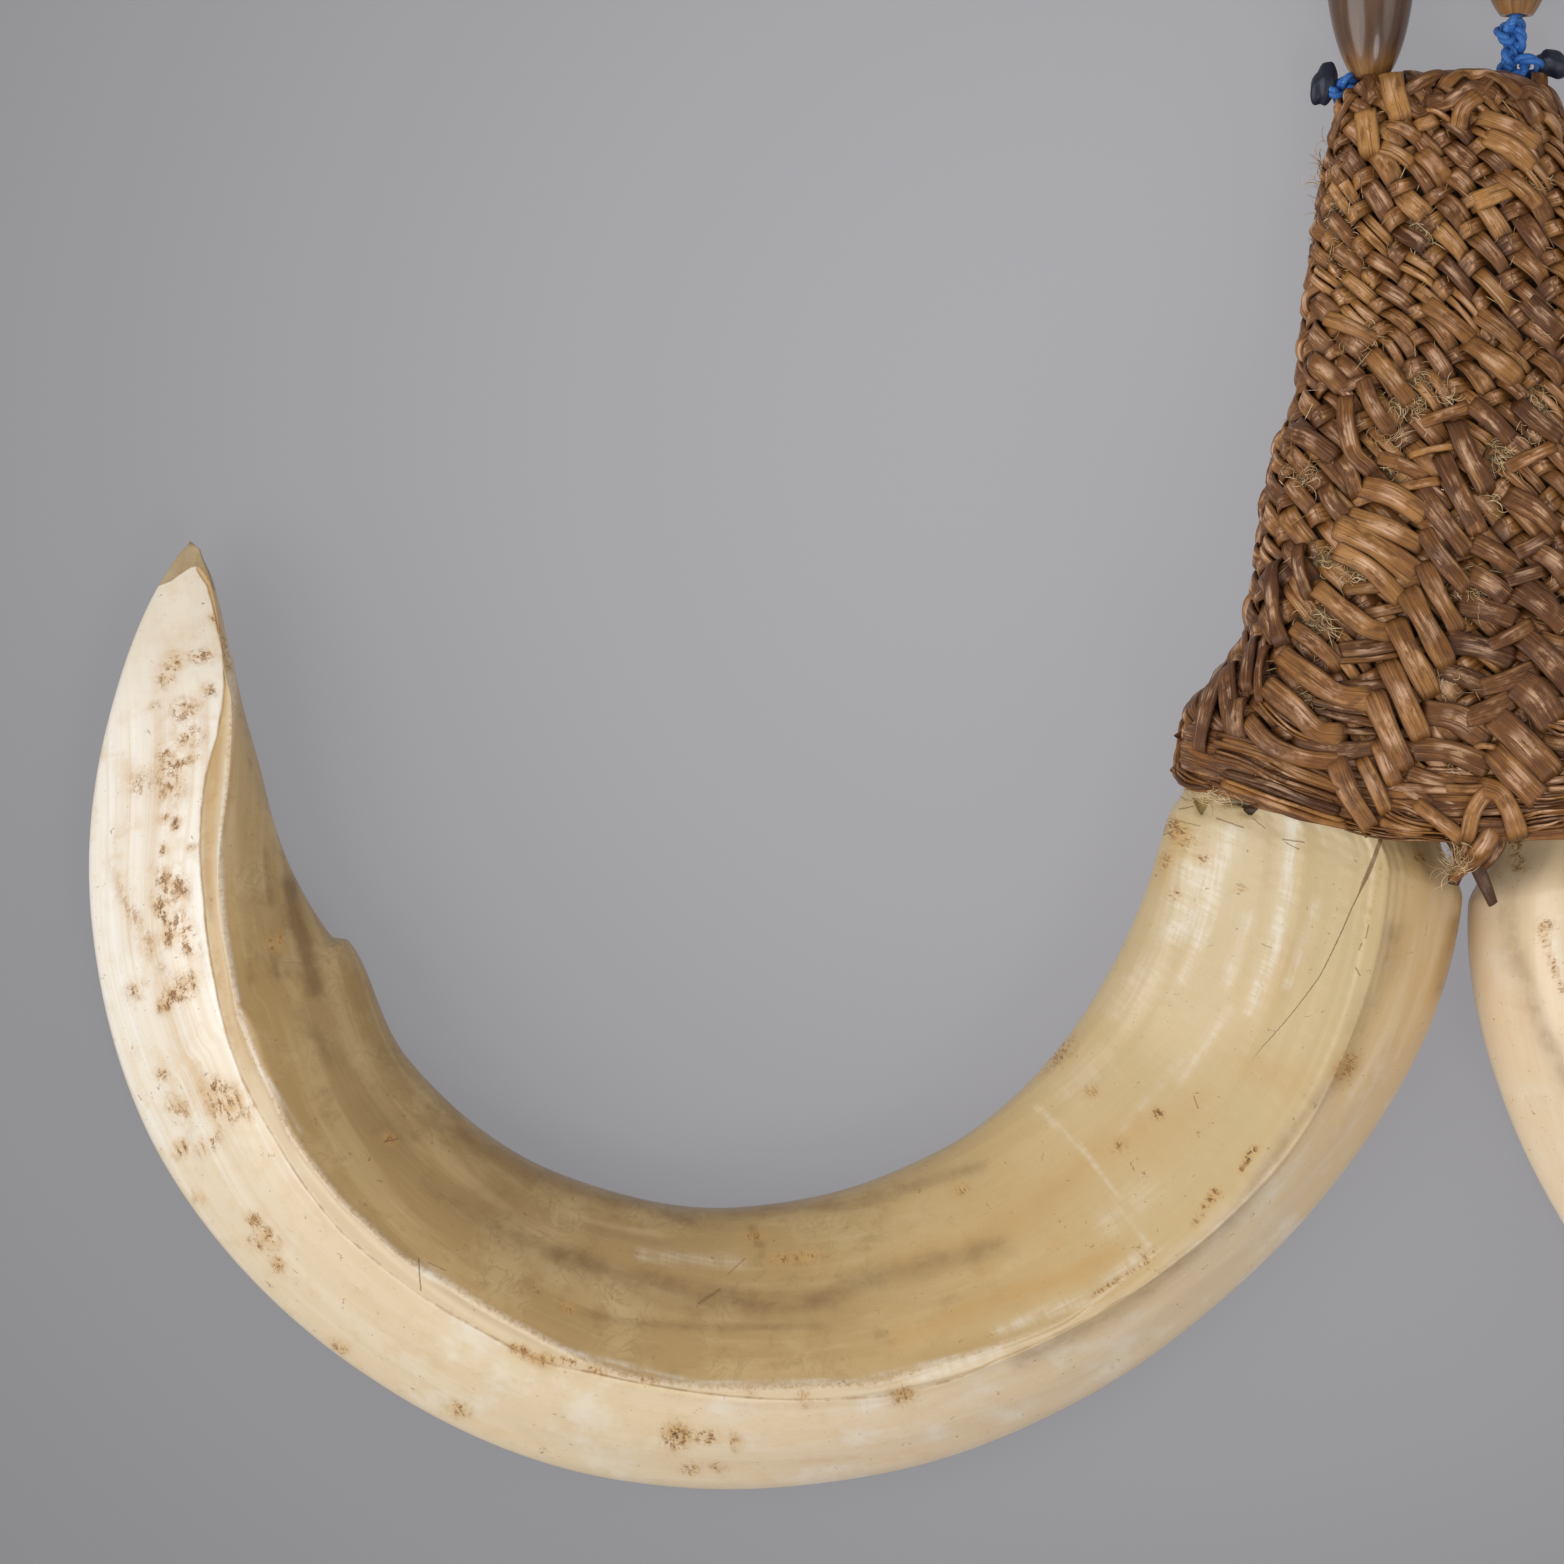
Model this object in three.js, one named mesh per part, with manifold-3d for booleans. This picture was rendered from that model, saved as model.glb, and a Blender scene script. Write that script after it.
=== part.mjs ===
import * as THREE from 'three';
import { mergeVertices } from 'three/addons/utils/BufferGeometryUtils.js';
import Module from 'manifold-3d';

const wasm = await Module();
wasm.setup();

// Driving dimensions, in millimetres and degrees.
// The ornament lies on its back on z = 0, its front faces +Z and the top of the cover points to +Y.
// The tusk's curl is given about its centre, in degrees clockwise from +X, from the root to the tip.
const TUSK = {
  curlCentre: [-70.2, 5.4],
  tip: [190.8, 46.7],
  tipRise: 0.5,
  inner: [
    [4, 49], [10, 47], [17.2, 45.7], [20.1, 45.1], [30, 46.1], [45, 48.5], [65, 50.9], [85, 51.4],
    [105, 49.8], [125, 46.2], [139.6, 41.8], [141.4, 42.7], [150, 42.5], [165, 41.4], [175, 41.9],
    [185, 43.7], [190.8, 46.7],
  ],
  outer: [
    [4, 65.5], [10, 67.4], [15.1, 68.9], [18.9, 72.5], [30, 74.6], [50, 76], [75, 77.2], [95, 76.4],
    [115, 72.9], [135, 68], [155, 60.7], [175, 53], [185, 49.8], [190.8, 46.7],
  ],
  thickness: [
    [4, 14.6], [20, 16.6], [60, 17.6], [95, 17.2], [125, 16], [145, 13], [160, 10.4], [175, 6.8], [190.8, 1],
  ],
  lift: [[4, 2.9], [20, 2.5], [45, 0.7], [65, 0], [115, 0], [140, 0.8], [165, 2.6], [190.8, 5.2]],
  ridge: [
    [4, 0.62], [25, 0.7], [42, 0.76], [60, 0.71], [90, 0.61], [130, 0.49], [150, 0.36], [168.5, 0.13],
    [190.8, 0.1],
  ],
};
const TUSK_STRETCHES = [[4, 20.1, 5], [20.1, 139.6, 18], [139.6, 141.4, 1], [141.4, 190.2, 10]];
const TUSK_RING_SIDES = 24;
const SOCKET_ENDS_AT = 42;

// The right tusk is the left one's mirror image, dropped a little and turned clockwise about a pivot.
const RIGHT_TUSK = { mirrorX: -0.83, drop: 0.5, pivot: [0, -12.6], clockwise: 8 };

// Rows of the cover go down from its top, 0, to its hem, 1.
const COVER = {
  topY: 56.2,
  hemY: -12.4,
  hemRise: 5.2,
  topX: -2.5,
  hemX: -0.3,
  squareness: 0.72,
  backFlat: 0.5,
  halfWidth: [
    [0, 7.6], [0.02, 9.2], [0.058, 10], [0.163, 11.7], [0.3, 13.2], [0.43, 14.6], [0.51, 16.8],
    [0.7, 19.2], [0.765, 20], [0.83, 22.8], [0.9, 25.8], [1, 26.9],
  ],
  halfDepth: [[0, 3.6], [0.02, 4.3], [0.058, 4.8], [0.3, 6.4], [0.5, 8.3], [0.7, 10], [0.85, 11.1], [1, 11.2]],
};
const COVER_ROWS = 28;
const COVER_COLUMNS = 52;
const PLAIT_RELIEF = { height: 0.6, even: 0.7, varied: 0.3, fadesAtBack: [-0.75, -0.35] };
const HEM_ROLL = { from: 0.92, out: 0.5 };
const HEM_KNOT = { centre: [-1, -13.2, 17.6], radii: [2.3, 3.9, 3] };

const CORD_DIAMETER = 1.2;
const CORD_SIDES = 8;
const CORD_STEPS = 48;
const CORD_ROUTE = [
  [-10.8, 50.6, 4], [-11, 52.4, 4.1], [-10.5, 54.2, 4.2], [-9.6, 55.8, 4.3], [-9.35, 57.6, 4.3],
  [-9.35, 64, 4.3], [-9.35, 72, 4.3], [-9.35, 79, 4.3], [-9.5, 83.5, 4], [-10.4, 88, 2.2],
  [-11.5, 92.4, 0.9], [-11.2, 97, 0.66], [-8.6, 101, 0.66], [-4.4, 103.2, 0.66], [0.2, 102.7, 0.66],
  [4, 100, 0.66], [5.9, 96, 0.8], [5.5, 92, 2.1], [4.4, 88.6, 3.9], [3.96, 84, 4.3], [3.96, 76, 4.3],
  [3.96, 68, 4.3], [3.9, 62, 4.3], [3.6, 58.6, 4.3], [3, 56, 4.2], [2.2, 53.6, 4.1], [1.7, 51, 4],
];
const LUMP_SIDES = 8;
const LUMP_ROWS = 6;
const CORD_LUMPS = [
  { centre: [-11.7, 55.3, 4.2], radii: [1.6, 1.4, 1.2], lean: 0 },
  { centre: [-13.6, 55.7, 4.3], radii: [1, 2, 1.1], lean: -12 },
  { centre: [4.6, 57.9, 4.4], radii: [1.7, 1.5, 1.3], lean: 0 },
  { centre: [7.1, 57.4, 4.4], radii: [1.7, 1.2, 1.2], lean: -20 },
];

const BEAD = { length: 25, radius: 4.2, endRadius: 1.5, boreRadius: 1.05, axisZ: 4.3, steps: 10, sides: 18 };
const BEAD_PLACES = { bead_left: [-9.35, 56.6], bead_right: [3.96, 62.3] };

const TOUCH_GAP = 0.4;

// Everything above the surface that the ornament lies on.
const ROOM_ABOVE = { size: [100, 120, 60], centre: [0, 20, 30] };

const MATERIALS = {
  tusk: new THREE.MeshStandardMaterial({ color: 0xe0cda0, roughness: 0.35, metalness: 0 }),
  cane: new THREE.MeshStandardMaterial({ color: 0x8a5a36, roughness: 0.6, metalness: 0 }),
  cord: new THREE.MeshStandardMaterial({ color: 0x1f55a8, roughness: 0.5, metalness: 0 }),
  bead: new THREE.MeshStandardMaterial({ color: 0x75604e, roughness: 0.15, metalness: 0 }),
};

// Slope of a run of [place, value] points at point k: none at a turning point, so the curve never overshoots.
function slopeAt(points, k) {
  const secant = (a) => (points[a + 1][1] - points[a][1]) / (points[a + 1][0] - points[a][0]);
  const last = points.length - 1;
  if (k === 0) return secant(0);
  if (k === last) return secant(last - 1);
  const before = secant(k - 1);
  const after = secant(k);
  return before * after <= 0 ? 0 : (2 * before * after) / (before + after);
}

// Smooth value at a place between hand-set [place, value] points.
function smoothThrough(points, place) {
  const last = points.length - 1;
  if (place <= points[0][0]) return points[0][1];
  if (place >= points[last][0]) return points[last][1];
  const k = points.findIndex((point) => point[0] > place) - 1;
  const width = points[k + 1][0] - points[k][0];
  const t = (place - points[k][0]) / width;
  const rise = points[k + 1][1] - points[k][1];
  const leaving = slopeAt(points, k) * width;
  const arriving = slopeAt(points, k + 1) * width;
  return points[k][1] + leaving * t + (3 * rise - 2 * leaving - arriving) * t ** 2
    + (leaving + arriving - 2 * rise) * t ** 3;
}

function middle(points) {
  return points.reduce((sum, point) => sum.add(point), new THREE.Vector3()).divideScalar(points.length);
}

// A closed skin over a row of rings, each a loop of points, with a fan at either end.
function skin(rings, startPoint = middle(rings[0]), endPoint = middle(rings.at(-1))) {
  const sides = rings[0].length;
  const points = [...rings.flat(), startPoint, endPoint];
  const start = points.length - 2;
  const lastRing = (rings.length - 1) * sides;
  const faces = [];
  for (let i = 0; i < sides; i += 1) {
    const next = (i + 1) % sides;
    for (let ring = 0; ring < lastRing; ring += sides) {
      faces.push(ring + i, ring + sides + i, ring + next);
      faces.push(ring + next, ring + sides + i, ring + sides + next);
    }
    faces.push(start, i, next);
    faces.push(start + 1, lastRing + next, lastRing + i);
  }
  const geometry = new THREE.BufferGeometry().setFromPoints(points);
  geometry.setIndex(faces);
  return geometry;
}

function toSolid(geometry) {
  const bare = geometry.clone();
  bare.deleteAttribute('normal');
  bare.deleteAttribute('uv');
  const merged = mergeVertices(bare, 1e-4);
  return new wasm.Manifold(new wasm.Mesh({
    numProp: 3,
    vertProperties: new Float32Array(merged.attributes.position.array),
    triVerts: new Uint32Array(merged.index.array),
  }));
}

function toGeometry(solid) {
  const { vertProperties, triVerts } = solid.getMesh();
  const geometry = new THREE.BufferGeometry();
  geometry.setAttribute('position', new THREE.BufferAttribute(vertProperties, 3));
  geometry.setIndex(new THREE.BufferAttribute(triVerts, 1));
  geometry.computeVertexNormals();
  return geometry;
}

// A tusk's section from its inner edge over the ridge to its outer edge and back under: [across, height].
function tuskSection(ridge) {
  const rest = 1 - ridge;
  const corners = [
    [0, 0.42], [0.12 * ridge, 0.66], [0.55 * ridge, 0.885], [0.88 * ridge, 0.975], [ridge, 1],
    [ridge + 0.14 * rest, 0.945], [ridge + 0.55 * rest, 0.74], [1, 0.36], [0.93, 0.13], [0.7, 0], [0.3, 0],
    [0.06, 0.17],
  ];
  const points = corners.map(([a, h]) => new THREE.Vector3(a, h, 0));
  const loop = new THREE.CatmullRomCurve3(points, true, 'catmullrom', 0.5);
  return Array.from({ length: TUSK_RING_SIDES }, (_, i) => loop.getPoint(i / TUSK_RING_SIDES));
}

function tuskPoint(angle, radius, z) {
  const turn = THREE.MathUtils.degToRad(angle);
  const [x, y] = TUSK.curlCentre;
  return new THREE.Vector3(x + radius * Math.cos(turn), y - radius * Math.sin(turn), z);
}

function tuskRing(angle, grow) {
  const inner = smoothThrough(TUSK.inner, angle) - grow;
  const outer = smoothThrough(TUSK.outer, angle) + grow;
  const back = smoothThrough(TUSK.lift, angle) - grow;
  const thickness = smoothThrough(TUSK.thickness, angle) + 2 * grow;
  return tuskSection(smoothThrough(TUSK.ridge, angle)).map(({ x: across, y: height }) => (
    tuskPoint(angle, THREE.MathUtils.lerp(inner, outer, across), back + thickness * Math.max(height, 0))
  ));
}

function tuskAngles() {
  const angles = [TUSK_STRETCHES[0][0]];
  for (const [from, to, steps] of TUSK_STRETCHES) {
    for (let step = 1; step <= steps; step += 1) angles.push(THREE.MathUtils.lerp(from, to, step / steps));
  }
  return angles;
}

function tuskGeometry() {
  const [tipAngle, tipRadius] = TUSK.tip;
  const tip = tuskPoint(tipAngle, tipRadius, smoothThrough(TUSK.lift, tipAngle) + TUSK.tipRise);
  return skin(tuskAngles().map((angle) => tuskRing(angle, 0)), undefined, tip);
}

// The space that the cover leaves round a tusk's root.
function socketGeometry() {
  const angles = tuskAngles().filter((angle) => angle < SOCKET_ENDS_AT);
  const radiansBack = TOUCH_GAP / smoothThrough(TUSK.inner, angles[0]);
  angles[0] -= THREE.MathUtils.radToDeg(radiansBack);
  return skin(angles.map((angle) => tuskRing(angle, TOUCH_GAP)));
}

function mirrored(geometry) {
  const copy = geometry.clone();
  copy.scale(-1, 1, 1);
  const index = copy.index.array;
  for (let i = 0; i < index.length; i += 3) [index[i], index[i + 1]] = [index[i + 1], index[i]];
  return copy;
}

// Where the mirror image of the left tusk is put.
function rightTuskMatrix() {
  const [x, y] = RIGHT_TUSK.pivot;
  return new THREE.Matrix4()
    .makeTranslation(x, y, 0)
    .multiply(new THREE.Matrix4().makeRotationZ(-THREE.MathUtils.degToRad(RIGHT_TUSK.clockwise)))
    .multiply(new THREE.Matrix4().makeTranslation(2 * RIGHT_TUSK.mirrorX - x, -RIGHT_TUSK.drop - y, 0));
}

// Height of the plait's strips over the cover's mean surface: slanted floats, dips and a rolled hem.
function plaitRelief(column, row, down, facing) {
  const { height, even, varied, fadesAtBack } = PLAIT_RELIEF;
  const size = even + varied * Math.cos((Math.PI / 4) * (column + row));
  const floats = Math.cos((Math.PI / 2) * (column - row)) * size;
  const hem = down > HEM_ROLL.from ? HEM_ROLL.out : 0;
  const clearOfBack = THREE.MathUtils.smoothstep(facing, ...fadesAtBack);
  return (height * floats + hem) * clearOfBack;
}

function coverRing(row) {
  const down = row / COVER_ROWS;
  const halfWidth = smoothThrough(COVER.halfWidth, down);
  const halfDepth = smoothThrough(COVER.halfDepth, down);
  const ring = [];
  for (let column = 0; column < COVER_COLUMNS; column += 1) {
    const turn = (2 * Math.PI * column) / COVER_COLUMNS;
    const side = -Math.sign(Math.cos(turn)) * Math.abs(Math.cos(turn)) ** COVER.squareness;
    const facing = Math.sin(turn);
    const front = Math.sign(facing) * Math.abs(facing) ** COVER.squareness;
    const relief = plaitRelief(column, row, down, facing);
    ring.push(new THREE.Vector3(
      THREE.MathUtils.lerp(COVER.topX, COVER.hemX, down) + (halfWidth + relief) * side,
      THREE.MathUtils.lerp(COVER.topY, COVER.hemY, down) + COVER.hemRise * down ** 3 * side ** 2,
      halfDepth - COVER.backFlat + (halfDepth + relief) * front,
    ));
  }
  return ring;
}

function lumpGeometry({ centre, radii, lean = 0 }) {
  return new THREE.SphereGeometry(1, LUMP_SIDES, LUMP_ROWS)
    .scale(...radii)
    .rotateZ(THREE.MathUtils.degToRad(lean))
    .translate(...centre);
}

const cordPoints = CORD_ROUTE.map((point) => new THREE.Vector3(...point));
const cordCurve = new THREE.CatmullRomCurve3(cordPoints, false, 'centripetal');

function cordTube(radius) {
  const outline = new THREE.Shape();
  for (let side = 0; side < CORD_SIDES; side += 1) {
    const turn = (2 * Math.PI * side) / CORD_SIDES;
    const corner = [radius * Math.cos(turn), radius * Math.sin(turn)];
    if (side === 0) outline.moveTo(...corner);
    else outline.lineTo(...corner);
  }
  return toSolid(new THREE.ExtrudeGeometry(outline, { steps: CORD_STEPS, extrudePath: cordCurve }));
}

function cordSolid() {
  return CORD_LUMPS.reduce((cord, lump) => cord.add(toSolid(lumpGeometry(lump))), cordTube(CORD_DIAMETER / 2));
}

// The space that the cover leaves round the cord's ends and knots.
function cordSpace() {
  const radius = CORD_DIAMETER / 2 + TOUCH_GAP;
  const radii = [radius, radius, radius];
  const ends = [CORD_ROUTE[0], CORD_ROUTE.at(-1)].map((centre) => ({ centre, radii }));
  const knots = CORD_LUMPS.map((lump) => ({ ...lump, radii: lump.radii.map((r) => r + TOUCH_GAP) }));
  return [...ends, ...knots].reduce((space, lump) => space.add(toSolid(lumpGeometry(lump))), cordTube(radius));
}

function coverGeometry(sockets) {
  const rings = Array.from({ length: COVER_ROWS + 1 }, (_, row) => coverRing(row));
  const underside = new THREE.Vector3(COVER.hemX, COVER.hemY, middle(rings.at(-1)).z);
  let cover = toSolid(skin(rings, undefined, underside)).add(toSolid(lumpGeometry(HEM_KNOT)));
  for (const socket of sockets) cover = cover.subtract(toSolid(socket));
  cover = cover.subtract(cordSpace());
  const aboveSurface = new THREE.BoxGeometry(...ROOM_ABOVE.size).translate(...ROOM_ABOVE.centre);
  return toGeometry(cover.intersect(toSolid(aboveSurface)));
}

// A bead is a stretched ball with its ends cut flat, and a bore right through.
function beadGeometry() {
  const { length, radius, endRadius, boreRadius, steps, sides } = BEAD;
  const halfBall = length / 2 / Math.sqrt(1 - (endRadius / radius) ** 2);
  const profile = [new THREE.Vector2(boreRadius, length)];
  profile.push(new THREE.Vector2(boreRadius, 0));
  for (let step = 0; step <= steps; step += 1) {
    const height = (length * step) / steps;
    const fromMiddle = (height - length / 2) / halfBall;
    profile.push(new THREE.Vector2(radius * Math.sqrt(1 - fromMiddle ** 2), height));
  }
  profile.push(profile[0].clone());
  return new THREE.LatheGeometry(profile, sides);
}

function addPiece(group, name, geometry, material) {
  const mesh = new THREE.Mesh(geometry, material);
  mesh.name = name;
  group.add(mesh);
  return mesh;
}

const ornament = new THREE.Group();

addPiece(ornament, 'tusk_left', tuskGeometry(), MATERIALS.tusk);
const rightTusk = addPiece(ornament, 'tusk_right', mirrored(tuskGeometry()), MATERIALS.tusk);
rightTusk.applyMatrix4(rightTuskMatrix());

const sockets = [socketGeometry(), mirrored(socketGeometry()).applyMatrix4(rightTuskMatrix())];
addPiece(ornament, 'plaited_cover', coverGeometry(sockets), MATERIALS.cane);

addPiece(ornament, 'hanging_cord', toGeometry(cordSolid()), MATERIALS.cord);
for (const [name, [x, y]] of Object.entries(BEAD_PLACES)) {
  addPiece(ornament, name, beadGeometry(), MATERIALS.bead).position.set(x, y, BEAD.axisZ);
}

export default ornament;
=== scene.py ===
# Boar tusk ornament lying on a pale floor: two curled tusks in a plaited cane cover, with a beaded blue cord.
import math
import bpy
import numpy as np
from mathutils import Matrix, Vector


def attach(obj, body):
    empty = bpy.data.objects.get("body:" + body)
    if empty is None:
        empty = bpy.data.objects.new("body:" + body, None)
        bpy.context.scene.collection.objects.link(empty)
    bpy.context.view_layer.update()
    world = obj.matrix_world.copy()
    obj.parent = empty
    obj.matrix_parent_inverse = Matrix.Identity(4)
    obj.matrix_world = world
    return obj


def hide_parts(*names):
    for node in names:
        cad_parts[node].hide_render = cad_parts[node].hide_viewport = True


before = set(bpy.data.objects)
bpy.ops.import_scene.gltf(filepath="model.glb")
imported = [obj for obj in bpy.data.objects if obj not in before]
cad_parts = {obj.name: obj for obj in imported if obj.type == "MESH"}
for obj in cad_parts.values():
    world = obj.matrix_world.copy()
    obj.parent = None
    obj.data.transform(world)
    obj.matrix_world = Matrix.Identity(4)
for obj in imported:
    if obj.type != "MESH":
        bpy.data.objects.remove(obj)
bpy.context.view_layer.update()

mm = 0.001
pixel = 0.09            # millimetres to a pixel of the photograph
photoSize = 1564        # pixels
originPixel = (1480, 700)


def photoPoint(across, down):  # a pixel of the photograph as x and y in millimetres
    return (across - originPixel[0]) * pixel, (originPixel[1] - down) * pixel


def photoPixel(x, y):  # and the way back
    return originPixel[0] + x / pixel, originPixel[1] - y / pixel


def addObject(name, data):
    made = bpy.data.objects.new(name, data)
    bpy.context.collection.objects.link(made)
    return made


# camera: straight above the middle of the photograph's frame, far enough off for little perspective
camera = {"lens": 120.0, "sensor": 36.0, "focusHeight": 9.0, "near": 0.01, "far": 20.0}
cameraDistance = photoSize * pixel * camera["lens"] / camera["sensor"]
middleX, middleY = photoPoint(photoSize / 2, photoSize / 2)


def seenFrom(x, y, z):  # where the camera sees a point, carried to the plane in focus
    size = cameraDistance / (cameraDistance + camera["focusHeight"] - z)
    return middleX + (x - middleX) * size, middleY + (y - middleY) * size


def underPixel(across, down, z):  # the point at a height that the camera sees at a pixel, the way back
    size = (cameraDistance + camera["focusHeight"] - z) / cameraDistance
    x, y = photoPoint(across, down)
    return middleX + (x - middleX) * size, middleY + (y - middleY) * size, z


def makeCamera(values):
    data = bpy.data.cameras.new("photoCamera")
    data.lens, data.sensor_width = values["lens"], values["sensor"]
    data.clip_start, data.clip_end = values["near"], values["far"]
    seen = addObject("photoCamera", data)
    seen.location = (middleX * mm, middleY * mm, (values["focusHeight"] + cameraDistance) * mm)
    bpy.context.scene.camera = seen


makeCamera(camera)


# small tools for shapes
def cubic(t, start, end, leaving, arriving):  # from start to end with given slopes at both, t from 0 to 1
    rise = end - start
    return start + leaving * t + (3 * rise - 2 * leaving - arriving) * t**2 + (leaving + arriving - 2 * rise) * t**3


def smoothThrough(points, places):  # cubic through (place, value) points, with no slope at turning points
    x, y = np.array(points, float).T
    places = np.clip(np.asarray(places, float), x[0], x[-1])
    secant = np.diff(y) / np.diff(x)
    product, total = secant[:-1] * secant[1:], secant[:-1] + secant[1:]
    inner = np.where(product > 0, 2 * product / np.where(product > 0, total, 1), 0)
    slope = np.concatenate((secant[:1], inner, secant[-1:]))
    k = np.clip(np.searchsorted(x, places, "right") - 1, 0, len(x) - 2)
    width = x[k + 1] - x[k]
    return cubic((places - x[k]) / width, y[k], y[k + 1], slope[k] * width, slope[k + 1] * width)


def easeStep(low, high, value):  # 0 below low, 1 above high, smooth between
    t = np.clip((np.asarray(value, float) - low) / (high - low), 0, 1)
    return t * t * (3 - 2 * t)


def wander(place, seed, rate=1.0, terms=5):  # slow noise of about -1 to 1: sines of unlike rates and phases
    rng = np.random.default_rng(seed)
    rates = rate * rng.uniform(0.5, 1.7, terms)
    phases = rng.uniform(0, 2 * np.pi, terms)
    return sum(np.sin(place * r + p) for r, p in zip(rates, phases)) / terms**0.5 / 1.2


def unit(vectors):
    return vectors / np.maximum(np.linalg.norm(vectors, axis=-1, keepdims=True), 1e-12)


def together(*values):  # numbers of like shapes joined as the parts of points or of layers
    return np.stack(np.broadcast_arrays(*values), -1)


def runAlong(path):  # running length of a line of points
    return np.concatenate(([0], np.cumsum(np.linalg.norm(np.diff(path, axis=0), axis=1))))


def turned(points, angle):  # points turned about z, counter-clockwise
    c, s = math.cos(angle), math.sin(angle)
    return points @ np.array(((c, s, 0), (-s, c, 0), (0, 0, 1)))


def gridFaces(rows, columns, first=0):  # four-sided faces of a grid that closes on itself along its columns
    start, column = np.meshgrid(np.arange(rows - 1) * columns, np.arange(columns), indexing="ij")
    after = (column + 1) % columns
    faces = [start + column, start + after, start + columns + after, start + columns + column]
    return first + np.stack(faces, -1).reshape(-1, 4)


def fanFaces(ring, middle, turned):  # triangles from a ring's points to a middle point
    after = np.roll(ring, -1)
    pair = (after, ring) if turned else (ring, after)
    return np.stack([pair[0], pair[1], np.full(len(ring), middle)], -1)


def makePiece(name, points, quads, triangles=(), layers=None):
    # points in millimetres; layers are point attributes of three values each
    quads, triangles = np.asarray(quads, int).reshape(-1, 4), np.asarray(triangles, int).reshape(-1, 3)
    mesh = bpy.data.meshes.new(name)
    mesh.vertices.add(len(points))
    mesh.vertices.foreach_set("co", (np.asarray(points, float) * mm).ravel())
    corners = np.concatenate((quads.ravel(), triangles.ravel()))
    mesh.loops.add(len(corners))
    mesh.loops.foreach_set("vertex_index", corners)
    starts = np.concatenate((np.arange(len(quads)) * 4, len(quads) * 4 + np.arange(len(triangles)) * 3))
    mesh.polygons.add(len(starts))
    mesh.polygons.foreach_set("loop_start", starts)
    mesh.polygons.foreach_set("use_smooth", np.full(len(starts), True))
    mesh.update(calc_edges=True)
    for layer, values in (layers or {}).items():
        made = mesh.attributes.new(layer, "FLOAT_VECTOR", "POINT")
        made.data.foreach_set("vector", np.asarray(values, float).ravel())
    mesh.validate()
    return addObject(name, mesh)


class Pile:
    # gathers many small closed tubes into one mesh
    def __init__(self):
        self.points, self.quads, self.triangles, self.layers, self.count = [], [], [], {}, 0

    def tube(self, rings, **layers):  # rings: rows of closed sections, capped at both ends by a fan
        rows, columns, _ = rings.shape
        outward = rings[:-1] - rings[:-1].mean(1, keepdims=True)
        facing = np.cross(np.roll(rings, -1, 1)[:-1] - rings[:-1], rings[1:] - rings[:-1])
        layers = {name: np.broadcast_to(values, rings.shape) for name, values in layers.items()}
        if (outward * facing).sum() < 0:
            rings = rings[:, ::-1]
            layers = {name: values[:, ::-1] for name, values in layers.items()}
        self.points += [rings.reshape(-1, 3), rings[[0, -1]].mean(1)]
        self.quads.append(gridFaces(rows, columns, self.count))
        first = self.count + np.arange(columns)
        last = first + (rows - 1) * columns
        middle = self.count + rows * columns
        self.triangles += [fanFaces(first, middle, True), fanFaces(last, middle + 1, False)]
        for name, values in layers.items():
            self.layers.setdefault(name, []).extend((values.reshape(-1, 3), values[[0, -1]].mean(1)))
        self.count = middle + 2

    def piece(self, name):
        layers = {k: np.concatenate(v) for k, v in self.layers.items()}
        return makePiece(name, np.concatenate(self.points), np.concatenate(self.quads),
                         np.concatenate(self.triangles), layers)


def framesAlong(path):  # direction, side and up of a smooth path, with the side kept as level as it can be
    direction = unit(np.gradient(path, axis=0))
    side = unit(np.cross(direction, (0.0, 0.0, 1.0)))
    return direction, side, np.cross(side, direction)


def roundTube(path, radius, sides):  # a circle carried along a path
    _, side, up = framesAlong(path)
    angle = 2 * np.pi * np.arange(sides)[:, None] / sides
    return path[:, None] + radius * (np.cos(angle) * side[:, None] + np.sin(angle) * up[:, None])


def curveThrough(points, count):  # centripetal-like smooth curve: cubic through points by their running length
    points = np.array(points, float)
    run = runAlong(points)
    places = np.linspace(0, run[-1], count)
    slope = np.gradient(points, run, axis=0)
    k = np.clip(np.searchsorted(run, places, "right") - 1, 0, len(run) - 2)
    width = (run[k + 1] - run[k])[:, None]
    t = (places - run[k])[:, None] / width
    return cubic(t, points[k], points[k + 1], slope[k] * width, slope[k + 1] * width)


# shader maths written as plain expressions
class Value:
    def __init__(self, finish, socket):
        self.finish, self.socket = finish, socket

    def maths(self, operation, *others):
        return self.finish.node("ShaderNodeMath", {"operation": operation}, dict(enumerate((self,) + others)))

    def __add__(self, other): return self.maths("ADD", other)
    def __sub__(self, other): return self.maths("SUBTRACT", other)
    def __mul__(self, other): return self.maths("MULTIPLY", other)
    def __truediv__(self, other): return self.maths("DIVIDE", other)
    def __pow__(self, other): return self.maths("POWER", other)
    def __rsub__(self, other): return (self * -1) + other
    def __abs__(self): return self.maths("ABSOLUTE")
    __radd__, __rmul__ = __add__, __mul__

    def lowest(self, other): return self.maths("MINIMUM", other)
    def highest(self, other): return self.maths("MAXIMUM", other)

    def between(self, low, high):  # 0 at low, 1 at high, smooth; low may be the larger
        return self.finish.node("ShaderNodeMapRange", {"interpolation_type": "SMOOTHSTEP"}, {
            "Value": self, "From Min": low, "From Max": high, "To Min": 0.0, "To Max": 1.0})


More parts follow.
